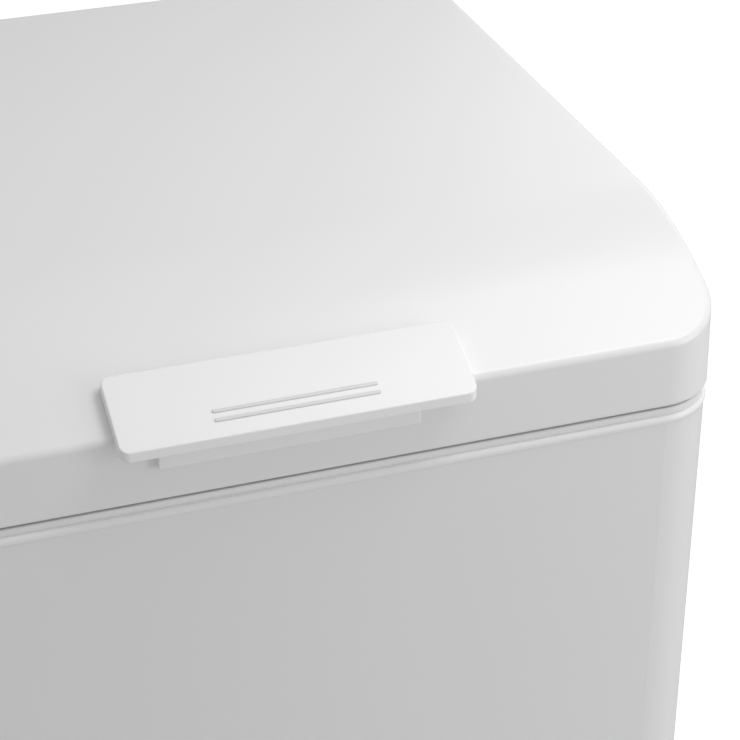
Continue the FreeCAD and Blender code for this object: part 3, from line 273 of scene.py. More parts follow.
def quads(index: Array, wrap_rows: bool = False, wrap_columns: bool = False) -> Array:
    """Faces of a grid of vertex numbers.

    Args:
        index: rows by columns of vertex numbers.
        wrap_rows: joins the last row to the first.
        wrap_columns: joins the last column to the first.

    Returns:
        An array of quads; each turns from a row to the next, then along the columns.
    """
    rows = np.vstack([index, index[:1]]) if wrap_rows else index
    grid = np.hstack([rows, rows[:, :1]]) if wrap_columns else rows
    return np.stack([grid[:-1, :-1], grid[:-1, 1:], grid[1:, 1:], grid[1:, :-1]], axis=-1).reshape(-1, 4)


def weighted_normals(points: Array, faces: Array) -> Array:
    """Vertex normals that lean to the larger faces: the sum of each face's cross product, made unit."""
    corners = points[faces]
    cross = np.cross(corners[:, 2] - corners[:, 0], corners[:, 3] - corners[:, 1])
    total = np.zeros_like(points)
    np.add.at(total, faces.ravel(), np.repeat(cross, 4, axis=0))
    return total / np.maximum(np.linalg.norm(total, axis=1, keepdims=True), 1e-12)


def sides_of(faces: Array) -> list[list[int]]:
    """Splits faces into whole quads and triangles; a triangle's quad repeats one neighbouring corner."""
    repeated = faces == np.roll(faces, 1, axis=1)
    count = repeated.sum(axis=1)
    folded = count == 1
    triangles = faces[folded][~repeated[folded]].reshape(-1, 3)
    return faces[count == 0].tolist() + triangles.tolist()


def solid(name: str, points: Array, faces: Array, paint: Paint,
          crease: float | None = None) -> bpy.types.Object:
    """Makes an object from vertices and quads, facing outwards.

    Args:
        name: the piece's name.
        points: vertices, in metres.
        faces: quads; a triangle repeats its last vertex.
        paint: its finish.
        crease: degrees past which an edge is sharp; none leaves smooth weighted normals.

    Returns:
        The object, at the origin.
    """
    corners = points[faces]
    volume = np.einsum("ij,ij->i", corners[:, 0], np.cross(corners[:, 1], corners[:, 2])).sum()
    volume += np.einsum("ij,ij->i", corners[:, 0], np.cross(corners[:, 2], corners[:, 3])).sum()
    if volume < 0:
        faces = faces[:, ::-1]
    mesh = bpy.data.meshes.new(name)
    mesh.from_pydata(points.tolist(), [], sides_of(faces))
    mesh.validate()
    mesh.shade_smooth()
    if crease is None:
        mesh.normals_split_custom_set_from_vertices(weighted_normals(points, faces).tolist())
    else:
        mesh.set_sharp_from_angle(angle=math.radians(crease))
    mesh.materials.append(PAINTS.get(paint))
    piece = bpy.data.objects.new(name, mesh)
    bpy.context.scene.collection.objects.link(piece)
    return piece


def dress(piece: bpy.types.Object, body: str, slot: str, *nodes: str) -> bpy.types.Object:
    """Rides a piece on a body, hides the nodes that it stands for, and reports it."""
    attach(piece, body)
    if nodes:
        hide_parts(*nodes)
    LOG.info("%s rides on %s, %d faces", piece.name, body, len(piece.data.polygons))
    return piece


def turned(direction: tuple[int, int, int]) -> Array:
    """A rotation matrix that carries +Z to an axis direction."""
    z = np.array(direction, float)
    x = np.array((0.0, 1.0, 0.0)) if abs(z[0]) > 0.5 else np.array((1.0, 0.0, 0.0))
    return np.stack([x, np.cross(z, x), z], axis=1)


def lathe(profile: Array, centre: Array, direction: tuple[int, int, int], steps: int = 48,
          flutes: Callable[[Array], Array] | None = None) -> tuple[Array, Array]:
    """A profile turned about an axis: radius and height go round a full circle.

    Args:
        profile: rows of radius and height; it starts and ends on the axis.
        centre: where height 0 lies.
        direction: the axis.
        steps: points round the circle.
        flutes: the radius factor as a function of the angle.

    Returns:
        Vertices and quads of the closed solid.
    """
    angle = np.linspace(0.0, 2 * math.pi, steps, endpoint=False)
    factor = np.ones(steps) if flutes is None else flutes(angle)
    inner = profile[1:-1]
    radius = inner[:, :1] * factor
    height = np.repeat(inner[:, 1:], steps, axis=1)
    ring = np.stack([radius * np.cos(angle), radius * np.sin(angle), height], axis=-1)
    poles = np.array([[0.0, 0.0, profile[0, 1]], [0.0, 0.0, profile[-1, 1]]])
    points = np.vstack([ring.reshape(-1, 3), poles]) @ turned(direction).T + centre
    index = np.arange(len(inner) * steps).reshape(len(inner), steps)
    first = np.full((1, steps), len(points) - 2)
    last = np.full((1, steps), len(points) - 1)
    return points, quads(np.vstack([first, index, last]), wrap_columns=True)


def turned_ring(profile: Array, centre: Array, direction: tuple[int, int, int],
                steps: int = 48) -> tuple[Array, Array]:
    """A closed profile of radius and height turned about an axis, so that a bore stays open."""
    angle = np.linspace(0.0, 2 * math.pi, steps, endpoint=False)
    radius = profile[:, :1]
    height = np.repeat(profile[:, 1:], steps, axis=1)
    ring = np.stack([radius * np.cos(angle), radius * np.sin(angle), height], axis=-1)
    points = ring.reshape(-1, 3) @ turned(direction).T + centre
    index = np.arange(len(points)).reshape(len(profile), steps)
    return points, quads(index, wrap_rows=True, wrap_columns=True)


def tube(path: Array, radius: float, steps: int = 10, closed: bool = False) -> tuple[Array, Array]:
    """A round bar along a path: a circle set square to the path's mean direction at each point.

    Args:
        path: points along the middle, in metres.
        radius: the bar's radius.
        steps: points round the bar.
        closed: whether the path joins up.

    Returns:
        Vertices and quads.
    """
    if closed:
        ahead = np.roll(path, -1, axis=0) - np.roll(path, 1, axis=0)
    else:
        ahead = np.gradient(path, axis=0)
    ahead /= np.linalg.norm(ahead, axis=1, keepdims=True)
    spread = np.abs(ahead).sum(axis=0)
    fixed = np.eye(3)[int(np.argmin(spread))]
    across = np.cross(ahead, fixed)
    across /= np.linalg.norm(across, axis=1, keepdims=True)
    upward = np.cross(across, ahead)
    angle = np.linspace(0.0, 2 * math.pi, steps, endpoint=False)
    ring = (path[:, None] + radius * (np.cos(angle)[None, :, None] * across[:, None]
                                      + np.sin(angle)[None, :, None] * upward[:, None]))
    index = np.arange(ring.shape[0] * steps).reshape(-1, steps)
    points = ring.reshape(-1, 3)
    if closed:
        return points, quads(index, wrap_rows=True, wrap_columns=True)
    points = np.vstack([points, path[:1], path[-1:]])
    ends = np.full((1, steps), len(points) - 2), np.full((1, steps), len(points) - 1)
    return points, quads(np.vstack([ends[0], index, ends[1]]), wrap_columns=True)


def merged(parts: Sequence[tuple[Array, Array]]) -> tuple[Array, Array]:
    """Puts several solids into one set of vertices and quads."""
    counts = np.cumsum([0] + [len(points) for points, _ in parts[:-1]])
    return (np.vstack([points for points, _ in parts]),
            np.vstack([faces + shift for (_, faces), shift in zip(parts, counts)]))


def rounded_path(corners: Array, bend: float, steps: int = 6, closed: bool = False) -> Array:
    """A path through corners, each corner swapped for a parabola-like arc that leaves it by the bend.

    The arc's points are (1-t)^2 a + 2 t (1-t) corner + t^2 b, with a and b on the two runs.
    """
    before = np.roll(corners, 1, axis=0) - corners
    after = np.roll(corners, -1, axis=0) - corners
    start = corners + bend * before / np.linalg.norm(before, axis=1, keepdims=True)
    finish = corners + bend * after / np.linalg.norm(after, axis=1, keepdims=True)
    t = np.linspace(0.0, 1.0, steps)[None, :, None]
    arcs = (1 - t) ** 2 * start[:, None] + 2 * t * (1 - t) * corners[:, None] + t ** 2 * finish[:, None]
    if closed:
        return arcs.reshape(-1, 3)
    return np.vstack([corners[:1], arcs[1:-1].reshape(-1, 3), corners[-1:]])


# ---------------------------------------------------------------- footprints and slabs


@dataclass(frozen=True)
class Footprint:
    """A rectangle with rounded corners: half its width, its front and rear, and the corners' radii."""

    half: float
    front: float
    rear: float
    front_corner: float
    rear_corner: float

    def drawn_in(self, inset: float) -> Footprint:
        """The same outline, moved inwards."""
        return Footprint(self.half - inset, self.front + inset, self.rear - inset,
                         self.front_corner - inset, self.rear_corner - inset)

    def rows(self, between: Array, steps: int = 12) -> tuple[Array, Array, Array, Array]:
        """The outline as rows across it.

        In a corner, y = edge +- R(1 - cos a) and the half width is half - R + R sin a.

        Args:
            between: y of the rows between the front corners and the rear ones.
            steps: rows in each corner.

        Returns:
            y, half width, and the outline's normal in x and y on the right.
        """
        angle = np.linspace(0.0, math.pi / 2, steps)
        nose, tail = self.front_corner, self.rear_corner
        keep = between[(between > self.front + nose + 1e-4) & (between < self.rear - tail - 1e-4)]
        flat = np.ones_like(keep)
        y = np.concatenate([self.front + nose * (1 - np.cos(angle)), keep,
                            (self.rear - tail * (1 - np.cos(angle)))[::-1]])
        wide = np.concatenate([self.half - nose + nose * np.sin(angle), flat * self.half,
                               (self.half - tail + tail * np.sin(angle))[::-1]])
        normal_x = np.concatenate([np.sin(angle), flat, np.sin(angle)[::-1]])
        normal_y = np.concatenate([-np.cos(angle), flat * 0, np.cos(angle)[::-1]])
        return y, wide, normal_x, normal_y


@dataclass(frozen=True)
class Loop:
    """The boundary of a grid of rows and columns, anticlockwise from its front left corner."""

    rows: int
    columns: int

    def index(self) -> Array:
        """Flat grid numbers along the boundary."""
        grid = np.arange(self.rows * self.columns).reshape(self.rows, self.columns)
        return np.concatenate([grid[0], grid[1:, -1], grid[-1, -2::-1], grid[-2:0:-1, 0]])

    def normals(self, normal_x: Array, normal_y: Array) -> Array:
        """The outline's outward normal at each boundary point."""
        column = np.zeros((self.rows, self.columns, 3))
        column[..., 1] = normal_y[:, None]
        column[:, -1, 0] = normal_x
        column[:, 0, 0] = -normal_x
        column[0] = (0.0, -1.0, 0.0)
        column[-1] = (0.0, 1.0, 0.0)
        return column.reshape(-1, 3)[self.index()]


def slerp(first: Array, second: Array, t: Array) -> Array:
    """Unit vectors part of the way round from one set to another: rows of t, then points."""
    angle = np.arccos(np.clip((first * second).sum(axis=-1), -1.0, 1.0))[None, :, None]
    t = t[:, None, None]
    sine = np.maximum(np.sin(angle), 1e-9)
    return (np.sin((1 - t) * angle) * first[None] + np.sin(t * angle) * second[None]) / sine


@dataclass(frozen=True)
class Slope:
    """A height that depends on y alone: a straight rise, an arc that joins it, and a flat.

    z = foot + tilt (y - start) up to the arc, then the arc of the given radius, then z = top.
    """

    start: float
    foot: float
    top: float
    tilt: float
    radius: float

    def at(self, y: Array, drop: float) -> tuple[Array, Array]:
        """Height and slope angle of the surface moved inwards along its normal by drop."""
        angle = math.atan(self.tilt)
        flat_at = self.start + (self.top - self.foot) / self.tilt + self.radius * math.tan(angle / 2)
        radius = self.radius - drop
        centre = self.top - self.radius
        bent = flat_at - radius * math.sin(angle)
        arc = centre + np.sqrt(np.maximum(radius ** 2 - (flat_at - y) ** 2, 0.0))
        line = centre + radius * math.cos(angle) + (y - bent) * self.tilt
        height = np.where(y >= flat_at, self.top - drop, np.where(y >= bent, arc, line))
        lean = np.where(y >= flat_at, 0.0, np.where(
            y >= bent, np.arcsin(np.clip((flat_at - y) / radius, 0.0, 1.0)), angle))
        return height, lean


@dataclass(frozen=True)
class Crown:
    """A height that bulges over a straight chord: z = chord + bulge (1 - u^2), u from -1 to 1 along y."""

    front: float
    rear: float
    front_z: float
    rear_z: float
    bulge: float

    def at(self, y: Array, drop: float) -> tuple[Array, Array]:
        """Height and slope angle of the surface moved inwards along its normal by drop."""
        run = self.rear - self.front
        u = 2 * (y - self.front) / run - 1
        tilt = (self.rear_z - self.front_z) / run - 4 * self.bulge * u / run
        lean = np.arctan(tilt)
        height = self.front_z + (self.rear_z - self.front_z) * (u + 1) / 2 + self.bulge * (1 - u ** 2)
        return height - drop / np.cos(lean), lean


def lens_normals(lean: Array, columns: int, loop: Loop, sign: float) -> Array:
    """Normals of a surface of slope lean, up or down, at the boundary."""
    grid = np.zeros((len(lean), columns, 3))
    grid[..., 1] = (-sign * np.sin(lean))[:, None]
    grid[..., 2] = (sign * np.cos(lean))[:, None]
    return grid.reshape(-1, 3)[loop.index()]


def edge_grid(y: Array, z: Array, wide: Array, across: Array) -> Array:
    """A grid of points: x = half width times across, y and z constant along a row."""
    x = wide[:, None] * across[None]
    return np.stack([x, np.broadcast_to(y[:, None], x.shape), np.broadcast_to(z[:, None], x.shape)], axis=-1)


def closed_slab(top: Array, rings: Array, bottom: Array) -> tuple[Array, Array]:
    """Joins a top grid and a bottom grid of the same layout by rings of points round their boundary.

    Args:
        top: rows, columns, 3.
        rings: rings, boundary points, 3; the first follows the top's edge, the last leads to the bottom's.
        bottom: rows, columns, 3.

    Returns:
        Vertices and quads of the closed solid.
    """
    rows, columns, _ = top.shape
    loop = Loop(rows, columns).index()
    size = rows * columns
    middle = np.arange(rings.shape[0] * len(loop)).reshape(rings.shape[0], -1) + size
    low = size + middle.size
    lower = np.arange(size).reshape(rows, columns) + low
    sheet = np.vstack([loop, middle, loop + low])
    points = np.vstack([top.reshape(-1, 3), rings.reshape(-1, 3), bottom.reshape(-1, 3)])
    faces = np.vstack([
        quads(np.arange(size).reshape(rows, columns)),
        quads(sheet, wrap_columns=True)[:, ::-1],
        quads(lower)[:, ::-1],
    ])
    return points, faces


def slab(plan: Footprint, upper: Callable, lower: Callable, round_top: float, round_bottom: float,
         between: Array, columns: int = 9, steps: int = 6) -> tuple[Array, Array]:
    """A closed block over a footprint, with a shaped top and bottom and rolled edges.

    An edge is a ball's path: c + r n, where n turns from the face's normal to the wall's.

    Args:
        plan: the outline.
        upper: gives height and slope angle of the top, moved in by a drop.
        lower: the same for the bottom, where the drop is negative.
        round_top: the upper edge's radius.
        round_bottom: the lower edge's radius.
        between: y of rows between the corners.
        columns: points across.
        steps: points round an edge.

    Returns:
        Vertices and quads.
    """
    across = np.linspace(-1.0, 1.0, columns)
    grids = []
    rings = []
    for sign, surface, radius in ((1.0, upper, round_top), (-1.0, lower, round_bottom)):
        y, wide, normal_x, normal_y = plan.drawn_in(radius).rows(between)
        z, lean = surface(y, sign * radius)
        loop = Loop(len(y), columns)
        centre = edge_grid(y, z, wide, across).reshape(-1, 3)[loop.index()]
        face = lens_normals(lean, columns, loop, sign)
        wall = loop.normals(normal_x, normal_y)
        level = z + sign * radius * np.cos(lean)
        grids.append(edge_grid(y - sign * radius * np.sin(lean), level, wide, across))
        rings.append(centre[None] + radius * slerp(face, wall, np.linspace(0.0, 1.0, steps)))
    return closed_slab(grids[0], np.vstack([rings[0][1:], rings[1][:0:-1]]), grids[1])


def flat(height: float) -> Callable:
    """A level face at a height, in the form that slab asks for."""
    return lambda y, drop: (np.full_like(y, height - drop), np.zeros_like(y))


def block(low: Sequence[float], high: Sequence[float], radius: float,
          corner: float = 0.0) -> tuple[Array, Array]:
    """A box with rolled edges; its upright edges are always a little rounder than the level ones."""
    corner = max(corner, radius * 1.05)
    plan = Footprint((high[0] - low[0]) / 2, low[1], high[1], corner, corner)
    points, faces = slab(plan, flat(high[2]), flat(low[2]), radius, radius, np.array([]), columns=2, steps=4)
    return points + ((high[0] + low[0]) / 2, 0.0, 0.0), faces


def node_box(node: str) -> tuple[Array, Array]:
    """A CAD node's lowest and highest corners as arrays."""
    low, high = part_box(node)
    return np.array(low), np.array(high)


# ---------------------------------------------------------------- lid


@dataclass
class Lid:
    """The lid's outer shell: sloped front, flat top, drafted skirt and a rolled hem."""

    skirt: float = 44.5 * MM
    tilt: float = 0.455
    blend: float = 205 * MM
    front_corner: float = 42 * MM
    rear_corner: float = 15 * MM
    edge: float = 6 * MM
    draft: float = math.tan(math.radians(1.0))
    hem_round: float = 2.2 * MM
    hem: float = 4.4 * MM
    hem_height: float = 5.9 * MM
    wall: float = 1.6 * MM
    roof: float = 8.4 * MM
    fine_rows: tuple[float, float, float] = (44 * MM, 150 * MM, 3 * MM)
    coarse_from: float = 160 * MM
    coarse_rows: int = 14
    draft_row: float = 12 * MM
    low: Array = field(init=False)
    high: Array = field(init=False)

    def __post_init__(self) -> None:
        """Reads the shell's place from the frame."""
        self.low, self.high = node_box("lid_shell")

    @property
    def plan(self) -> Footprint:
        """The skirt's outline at its foot."""
        return Footprint(self.high[0], self.low[1], self.high[1], self.front_corner, self.rear_corner)

    @property
    def slope(self) -> Slope:
        """The top surface."""
        return Slope(self.low[1], self.low[2] + self.skirt, self.high[2], self.tilt, self.blend)

    def shell(self) -> bpy.types.Object:
        """Builds the outer shell.

        The edge is a ball of the edge radius rolled round the outline, moved in with height by the draft.
        The skirt drops straight from it to a rolled hem, and the inside steps out over the inner liner.

        Returns:
            The shell's object.
        """
        columns = 41
        front, rear = self.low[1], self.high[1]
        start, stop, step = self.fine_rows
        between = np.concatenate([
            np.arange(front + start, front + stop, step),
            np.linspace(front + self.coarse_from, rear, self.coarse_rows)])
        across = np.linspace(-1.0, 1.0, columns)
        y, wide, normal_x, normal_y = self.plan.drawn_in(self.edge).rows(between, 18)
        z, _ = self.slope.at(y, self.edge)
        shift = self.draft * (z - self.low[2])
        y, wide = y - normal_y * shift, wide - normal_x * shift
        z, lean = self.slope.at(y, self.edge)
        loop = Loop(len(y), columns)
        pick = loop.index()
        wall = loop.normals(normal_x, normal_y)
        centre = edge_grid(y, z, wide, across).reshape(-1, 3)[pick]
        top = edge_grid(y - self.edge * np.sin(lean), z + self.edge * np.cos(lean), wide, across)
        rolled = centre[None] + self.edge * slerp(
            lens_normals(lean, columns, loop, 1.0), wall, np.linspace(0.0, 1.0, 9))[1:]

        foot = centre.copy()
        foot += wall * (self.edge + self.draft * (centre[:, 2] - self.low[2]))[:, None]
        foot[:, 2] = self.low[2]
        upright = np.array((0.0, 0.0, 1.0))

        def ring(inset: float, height: float) -> Array:
            """The foot's outline moved in by inset and up by height."""
            return foot - wall * inset + upright * height

        hem_angle = np.linspace(0.0, math.pi / 2, 5)
        skirt = [ring(self.draft * rise, rise) for rise in (self.draft_row, self.hem_round * 2)]
        skirt += [ring(self.hem_round * (1 - math.cos(a)), self.hem_round * (1 - math.sin(a)))
                  for a in hem_angle]
        inner = self.hem_round * 0.6
        skirt += [ring(self.hem - inner * (1 - math.sin(a)), inner * (1 - math.cos(a))) for a in hem_angle]
        skirt += [ring(self.hem, self.hem_height), ring(self.wall, self.hem_height)]
        skirt += [ring(self.wall, self.roof)]
        rings = np.vstack([rolled, np.array(skirt)])
        bottom = edge_grid(y, np.full_like(y, self.low[2] + self.roof), wide, across)
        points, faces = closed_slab(top, rings, bottom)
        return solid("lid_outer", points, faces, Paint.LID)

    def build(self) -> None:
        """Builds and dresses the lid."""
        dress(self.shell(), "lid", "white_lid", "lid_shell")


@dataclass
class Handle:
    """The lift plate on the lid's slope, its two ribs and the base block under it."""

    thick: float = 7 * MM
    bulge: float = 1.28 * MM
    corner: float = 6 * MM
    edge: float = 1.1 * MM
    front_rise: float = 44.6 * MM
    back_rise: float = 67.8 * MM
    rib_half: float = 49.7 * MM
    rib_width: float = 2.3 * MM
    rib_proud: float = 0.8 * MM
    rib_pitch: float = 5.3 * MM
    rib_front: float = 6.3 * MM
    rib_steps: int = 32
    plate_reach: float = 15 * MM
    base_corner: float = 1.2 * MM
    base_edge: float = 0.9 * MM
    base_back_edge: float = 0.2 * MM
    base_sink: float = 2.5 * MM
    base_over: float = 1.5 * MM

    def crown(self) -> tuple[Footprint, Crown, float]:
        """The plate's outline, its top surface and the lid's foot."""
        low, high = node_box("handle_plate")
        foot = node_box("lid_shell")[0][2]
        plan = Footprint(high[0], low[1], high[1], self.corner, self.corner)
        return plan, Crown(low[1], high[1], foot + self.front_rise, foot + self.back_rise, self.bulge), foot

    def plate(self) -> bpy.types.Object:
        """Builds the plate: a crowned top over a straight underside."""
        plan, top, _ = self.crown()
        under = Crown(top.front, top.rear, top.front_z - self.thick, top.rear_z - self.thick, 0.0)
        points, faces = slab(
            plan, top.at, under.at, self.edge, self.edge * 0.7, np.linspace(plan.front, plan.rear, 15), 21, 7)
        return solid("handle_plate_moulded", points, faces, Paint.PLATE)

    def ribs(self) -> bpy.types.Object:
        """Builds the two ribs, bars with round ends that lie on the crown.

        A rib's rim point is centre + width/2 (cos a, sin a) with its straight run added in x; its height
        is the crown's height there plus how proud it is.
        """
        _, top, _ = self.crown()
        steps = self.rib_steps
        angle = np.linspace(0.0, 2 * math.pi, steps, endpoint=False)
        run = np.sign(np.cos(angle) + 1e-9) * (self.rib_half - self.rib_width / 2)
        levels = np.array([[1.0, -0.6], [1.0, 0.55], [0.9, 0.85], [0.7, 1.0], [0.0, 1.0]])
        lean = math.atan((top.rear_z - top.front_z) / (top.rear - top.front))
        parts = []
        for number in range(2):
            near = top.front + self.plate_reach - self.rib_front
            middle = near + number * self.rib_pitch + self.rib_width / 2
            height, _ = top.at(np.array([middle]), 0.0)
            reach = levels[:, :1] * self.rib_width / 2
            x = run + reach * np.cos(angle)
            along = reach * np.sin(angle)
            lift = levels[:, 1:] * self.rib_proud + 0 * along
            y = middle + along * math.cos(lean) - lift * math.sin(lean)
            z = height + along * math.sin(lean) + lift * math.cos(lean)
            ring = np.stack([x, y, z], axis=-1)
            ring[-1] = ring[-1] * (0, 1, 1) + np.stack([run, 0 * run, 0 * run], axis=-1)
            grid = np.arange(ring.shape[0] * steps).reshape(-1, steps)
            points = np.vstack([ring.reshape(-1, 3), ring[0].mean(axis=0, keepdims=True),
                                ring[-1].mean(axis=0, keepdims=True)])
            ends = [np.full((1, steps), len(points) - 2), np.full((1, steps), len(points) - 1)]
            parts.append((points, quads(np.vstack([ends[0], grid, ends[1]]), wrap_columns=True)))
        points, faces = merged(parts)
        return solid("handle_ribs", points, faces, Paint.RIB, 40.0)

    def base(self) -> bpy.types.Object:
        """Builds the base block, a rounded block that reaches a little into the skirt."""
        low, high = node_box("handle_base")
        skirt_deep = high[1] + self.base_sink
        corner = self.base_corner
        middle, half = (low[0] + high[0]) / 2, (high[0] - low[0]) / 2
        plan = Footprint(half, low[2], high[2] + self.base_over, corner, corner)
        points, faces = slab(plan, flat(-low[1]), flat(-skirt_deep), self.base_edge, self.base_back_edge,
                             np.array([]), 3, 6)
        points = np.stack([points[:, 0] + middle, -points[:, 2], points[:, 1]], axis=-1)
        return solid("handle_base_moulded", points, faces, Paint.PLATE)

    def build(self) -> None:
        """Builds and dresses the handle."""
        dress(self.plate(), "lid", "white_lid", "handle_plate")
        dress(self.ribs(), "lid", "white_lid")
        dress(self.base(), "lid", "white_lid", "handle_base")


# ---------------------------------------------------------------- cabinet


def outlines(outer: Footprint, inner: Footprint, rows: int = 40,
             columns: int = 30) -> tuple[Array, Array, Array]:
    """Two outlines with the same number of points, one inside the other, and the outer one's normals."""
    across = np.linspace(-1.0, 1.0, columns)
    share = np.linspace(0.02, 0.98, rows)
    found = []
    for plan in (outer, inner):
        near = plan.front + plan.front_corner
        far = plan.rear - plan.rear_corner
        y, wide, normal_x, normal_y = plan.rows(near + share * (far - near), 16)
        loop = Loop(len(y), columns)
        line = edge_grid(y, 0 * y, wide, across).reshape(-1, 3)[loop.index()]
        found.append((line, loop.normals(normal_x, normal_y)))
    (edge, normal), (lip, _) = found
    return edge, normal, lip


def band(rows: Sequence[Array]) -> tuple[Array, Array]:
    """Joins loops of points, one after another and the last to the first, into a closed ring."""
    grid = np.array(rows)
    index = np.arange(grid.shape[0] * grid.shape[1]).reshape(grid.shape[0], -1)
    return grid.reshape(-1, 3), quads(index, wrap_rows=True, wrap_columns=True)


@dataclass
class Rim:
    """The rolled rim round the cabinet's mouth: a shoulder under the lid, a fine groove and a round bead."""

    front_corner: float = 42 * MM
    rear_corner: float = 15 * MM
    mouth_corner: float = 20 * MM
    mouth_inset: float = 50.8 * MM
    shoulder: float = 2.8 * MM
    shoulder_tall: float = 4.2 * MM
    shoulder_round: float = 1.2 * MM
    groove: float = 0.4 * MM
    bead_round: float = 2.0 * MM
    curl: float = 55.0
    lip_round: float = 0.6 * MM

    def profile(self, tall: float) -> list[tuple[float, float]]:
        """The outer side, as insets from the outline and drops from the top.

        The shoulder's edge is a quarter circle. The bead is part of an ellipse, from its top round to the
        curl angle below: inset = r (1 - cos a), drop = middle - half sin a.

        Args:
            tall: the rim's height.

        Returns:
            Pairs of inset and drop, from the top down.
        """
        edge = self.shoulder_round
        turns = np.linspace(0.0, math.pi / 2, 5)
        steps = [(self.shoulder + edge * (1 - math.sin(a)), edge * (1 - math.cos(a))) for a in turns]
        start = self.shoulder_tall + self.groove
        steps += [(self.shoulder, self.shoulder_tall), (self.shoulder + self.groove / 2, start)]
        half = (tall - start) / (1 + math.sin(math.radians(self.curl)))
        turns = np.linspace(math.pi / 2, -math.radians(self.curl), 15)
        steps += [(self.bead_round * (1 - math.cos(a)), start + half * (1 - math.sin(a))) for a in turns]
        return steps

    def build(self) -> None:
        """Builds the rim as a closed profile carried round the outline."""
        low, high = node_box("rim_frame")
        inset = self.mouth_inset
        edge, normal, lip = outlines(
            Footprint(high[0], low[1], high[1], self.front_corner, self.rear_corner),
            Footprint(high[0] - inset, low[1] + inset, high[1] - inset, self.mouth_corner, self.mouth_corner))
        up = np.array((0.0, 0.0, 1.0))
        edge = edge + up * high[2]
        lip = lip + up * high[2]
        tall = high[2] - low[2]
        rows = [lip + normal * self.lip_round]
        rows += [edge - normal * inward - up * drop for inward, drop in self.profile(tall)]
        rows += [lip - up * tall, lip - up * self.lip_round]
        points, faces = band(rows)
        dress(solid("rim_rolled", points, faces, Paint.RIM, 38.0), "cabinet", "rim_white", "rim_frame")


@dataclass
class Seal:
    """The lid's bulb gasket: a flat root, a waist and a soft bulb over the rim."""

    width: float = 12 * MM
    outer_corner: float = 28 * MM
    inner_corner: float = 16 * MM
    rear_outer: float = 15 * MM
    rear_inner: float = 5 * MM

    def build(self) -> None:
        """Builds the gasket.

        A profile point is a share of the way from the outer to the inner edge, and a share of the height.
        """
        low, high = node_box("lid_gasket")
        outer = Footprint(high[0], low[1], high[1], self.outer_corner, self.rear_outer)
        inner = Footprint(high[0] - self.width, low[1] + self.width, high[1] - self.width,
                          self.inner_corner, self.rear_inner)
        edge, _, lip = outlines(outer, inner)
        tall = high[2] - low[2]
        angle = np.linspace(math.radians(55), math.radians(-235), 21)
        bulb = [(0.5 - 0.5 * math.cos(a), 0.36 + 0.36 * math.sin(a)) for a in angle]
        profile = [(0.16, 1.0), (0.16, 0.88), (0.36, 0.82), (0.36, 0.74), *bulb, (0.64, 0.74), (0.64, 0.82),
                   (0.84, 0.88), (0.84, 1.0)]
        up = np.array((0.0, 0.0, 1.0))
        rows = [edge + (lip - edge) * share + up * (low[2] + tall * rise) for share, rise in profile]
        points, faces = band(rows)
        dress(solid("gasket_bulb", points, faces, Paint.GASKET, 50.0), "lid", "gasket_grey", "lid_gasket")


# ---------------------------------------------------------------- basket


@dataclass
class Basket:
    """The sliding basket: bent wires both ways, hoops round the sides, a stout rim wire and two grips."""

    wire: float = 1.5 * MM
    hoop: float = 1.8 * MM
    bend: float = 7 * MM
    across_pitch: float = 22 * MM
    along_pitch: float = 20 * MM
    hoops: tuple[float, ...] = (0.34, 0.66)
    grip_deep: float = 8 * MM
    grip_edge: float = 2.4 * MM
    grip_corner: float = 3 * MM

    def wires(self) -> bpy.types.Object:
        """Builds the wirework: cradles across and along, hoops at part heights, and the rim."""
        floor_low, floor_high = node_box("basket_floor")
        rim_low, rim_high = node_box("basket_rim")
        rim_radius = (rim_high[2] - rim_low[2]) / 2
        top = rim_high[2] - rim_radius
        low = floor_low + self.wire
        high = floor_high - self.wire
        parts = []
        for axis, pitch in ((1, self.across_pitch), (0, self.along_pitch)):
            level = low[2] + (0.0 if axis == 1 else 2 * self.wire)
            run = 1 - axis
            count = int((high[axis] - low[axis]) / pitch)
            near, far = low[run], high[run]
            edge_near, edge_far = rim_low[run] + rim_radius, rim_high[run] - rim_radius
            cradle = np.array([[edge_near, top], [near, top - self.bend], [near, level], [far, level],
                               [far, top - self.bend], [edge_far, top]])
            for place in np.linspace(low[axis] + pitch / 2, high[axis] - pitch / 2, count):
                corners = np.zeros((6, 3))
                corners[:, axis] = place
                corners[:, run] = cradle[:, 0]
                corners[:, 2] = cradle[:, 1]
                parts.append(tube(rounded_path(corners, self.bend / 2), self.wire, 8))
        for share in self.hoops:
            parts.append(self.hoop_at(low, high, low[2] + share * (top - low[2]), self.hoop))
        inset = np.array((rim_radius, rim_radius, 0.0))
        parts.append(self.hoop_at(rim_low + inset, rim_high - inset, top, rim_radius, 12))
        points, faces = merged(parts)
        return solid("basket_wirework", points, faces, Paint.WIRE, 60.0)

    def hoop_at(self, low: Array, high: Array, level: float, radius: float,
                steps: int = 8) -> tuple[Array, Array]:
        """A level hoop with bent corners."""
        corners = np.array([[low[0], low[1], level], [high[0], low[1], level], [high[0], high[1], level],
                            [low[0], high[1], level]])
        return tube(rounded_path(corners, self.bend * 2, 8, closed=True), radius, steps, closed=True)

    def grips(self) -> bpy.types.Object:
        """Builds two rounded grips over the rim."""
        low, high = node_box("basket_grips")
        deep = self.grip_deep
        parts = [block((left, low[1], low[2]), (left + deep, high[1], high[2]), self.grip_edge,
                       self.grip_corner)
                 for left in (low[0], high[0] - deep)]
        points, faces = merged(parts)
        return solid("basket_grip_pads", points, faces, Paint.GRIP, 50.0)

    def build(self) -> None:
        """Builds and dresses the basket."""
        dress(self.wires(), "basket", "basket_wire", "basket_floor", "basket_front", "basket_back",
              "basket_left", "basket_right", "basket_rim")
        dress(self.grips(), "basket", "grip_grey", "basket_grips")


# ---------------------------------------------------------------- hinges, feet and rollers


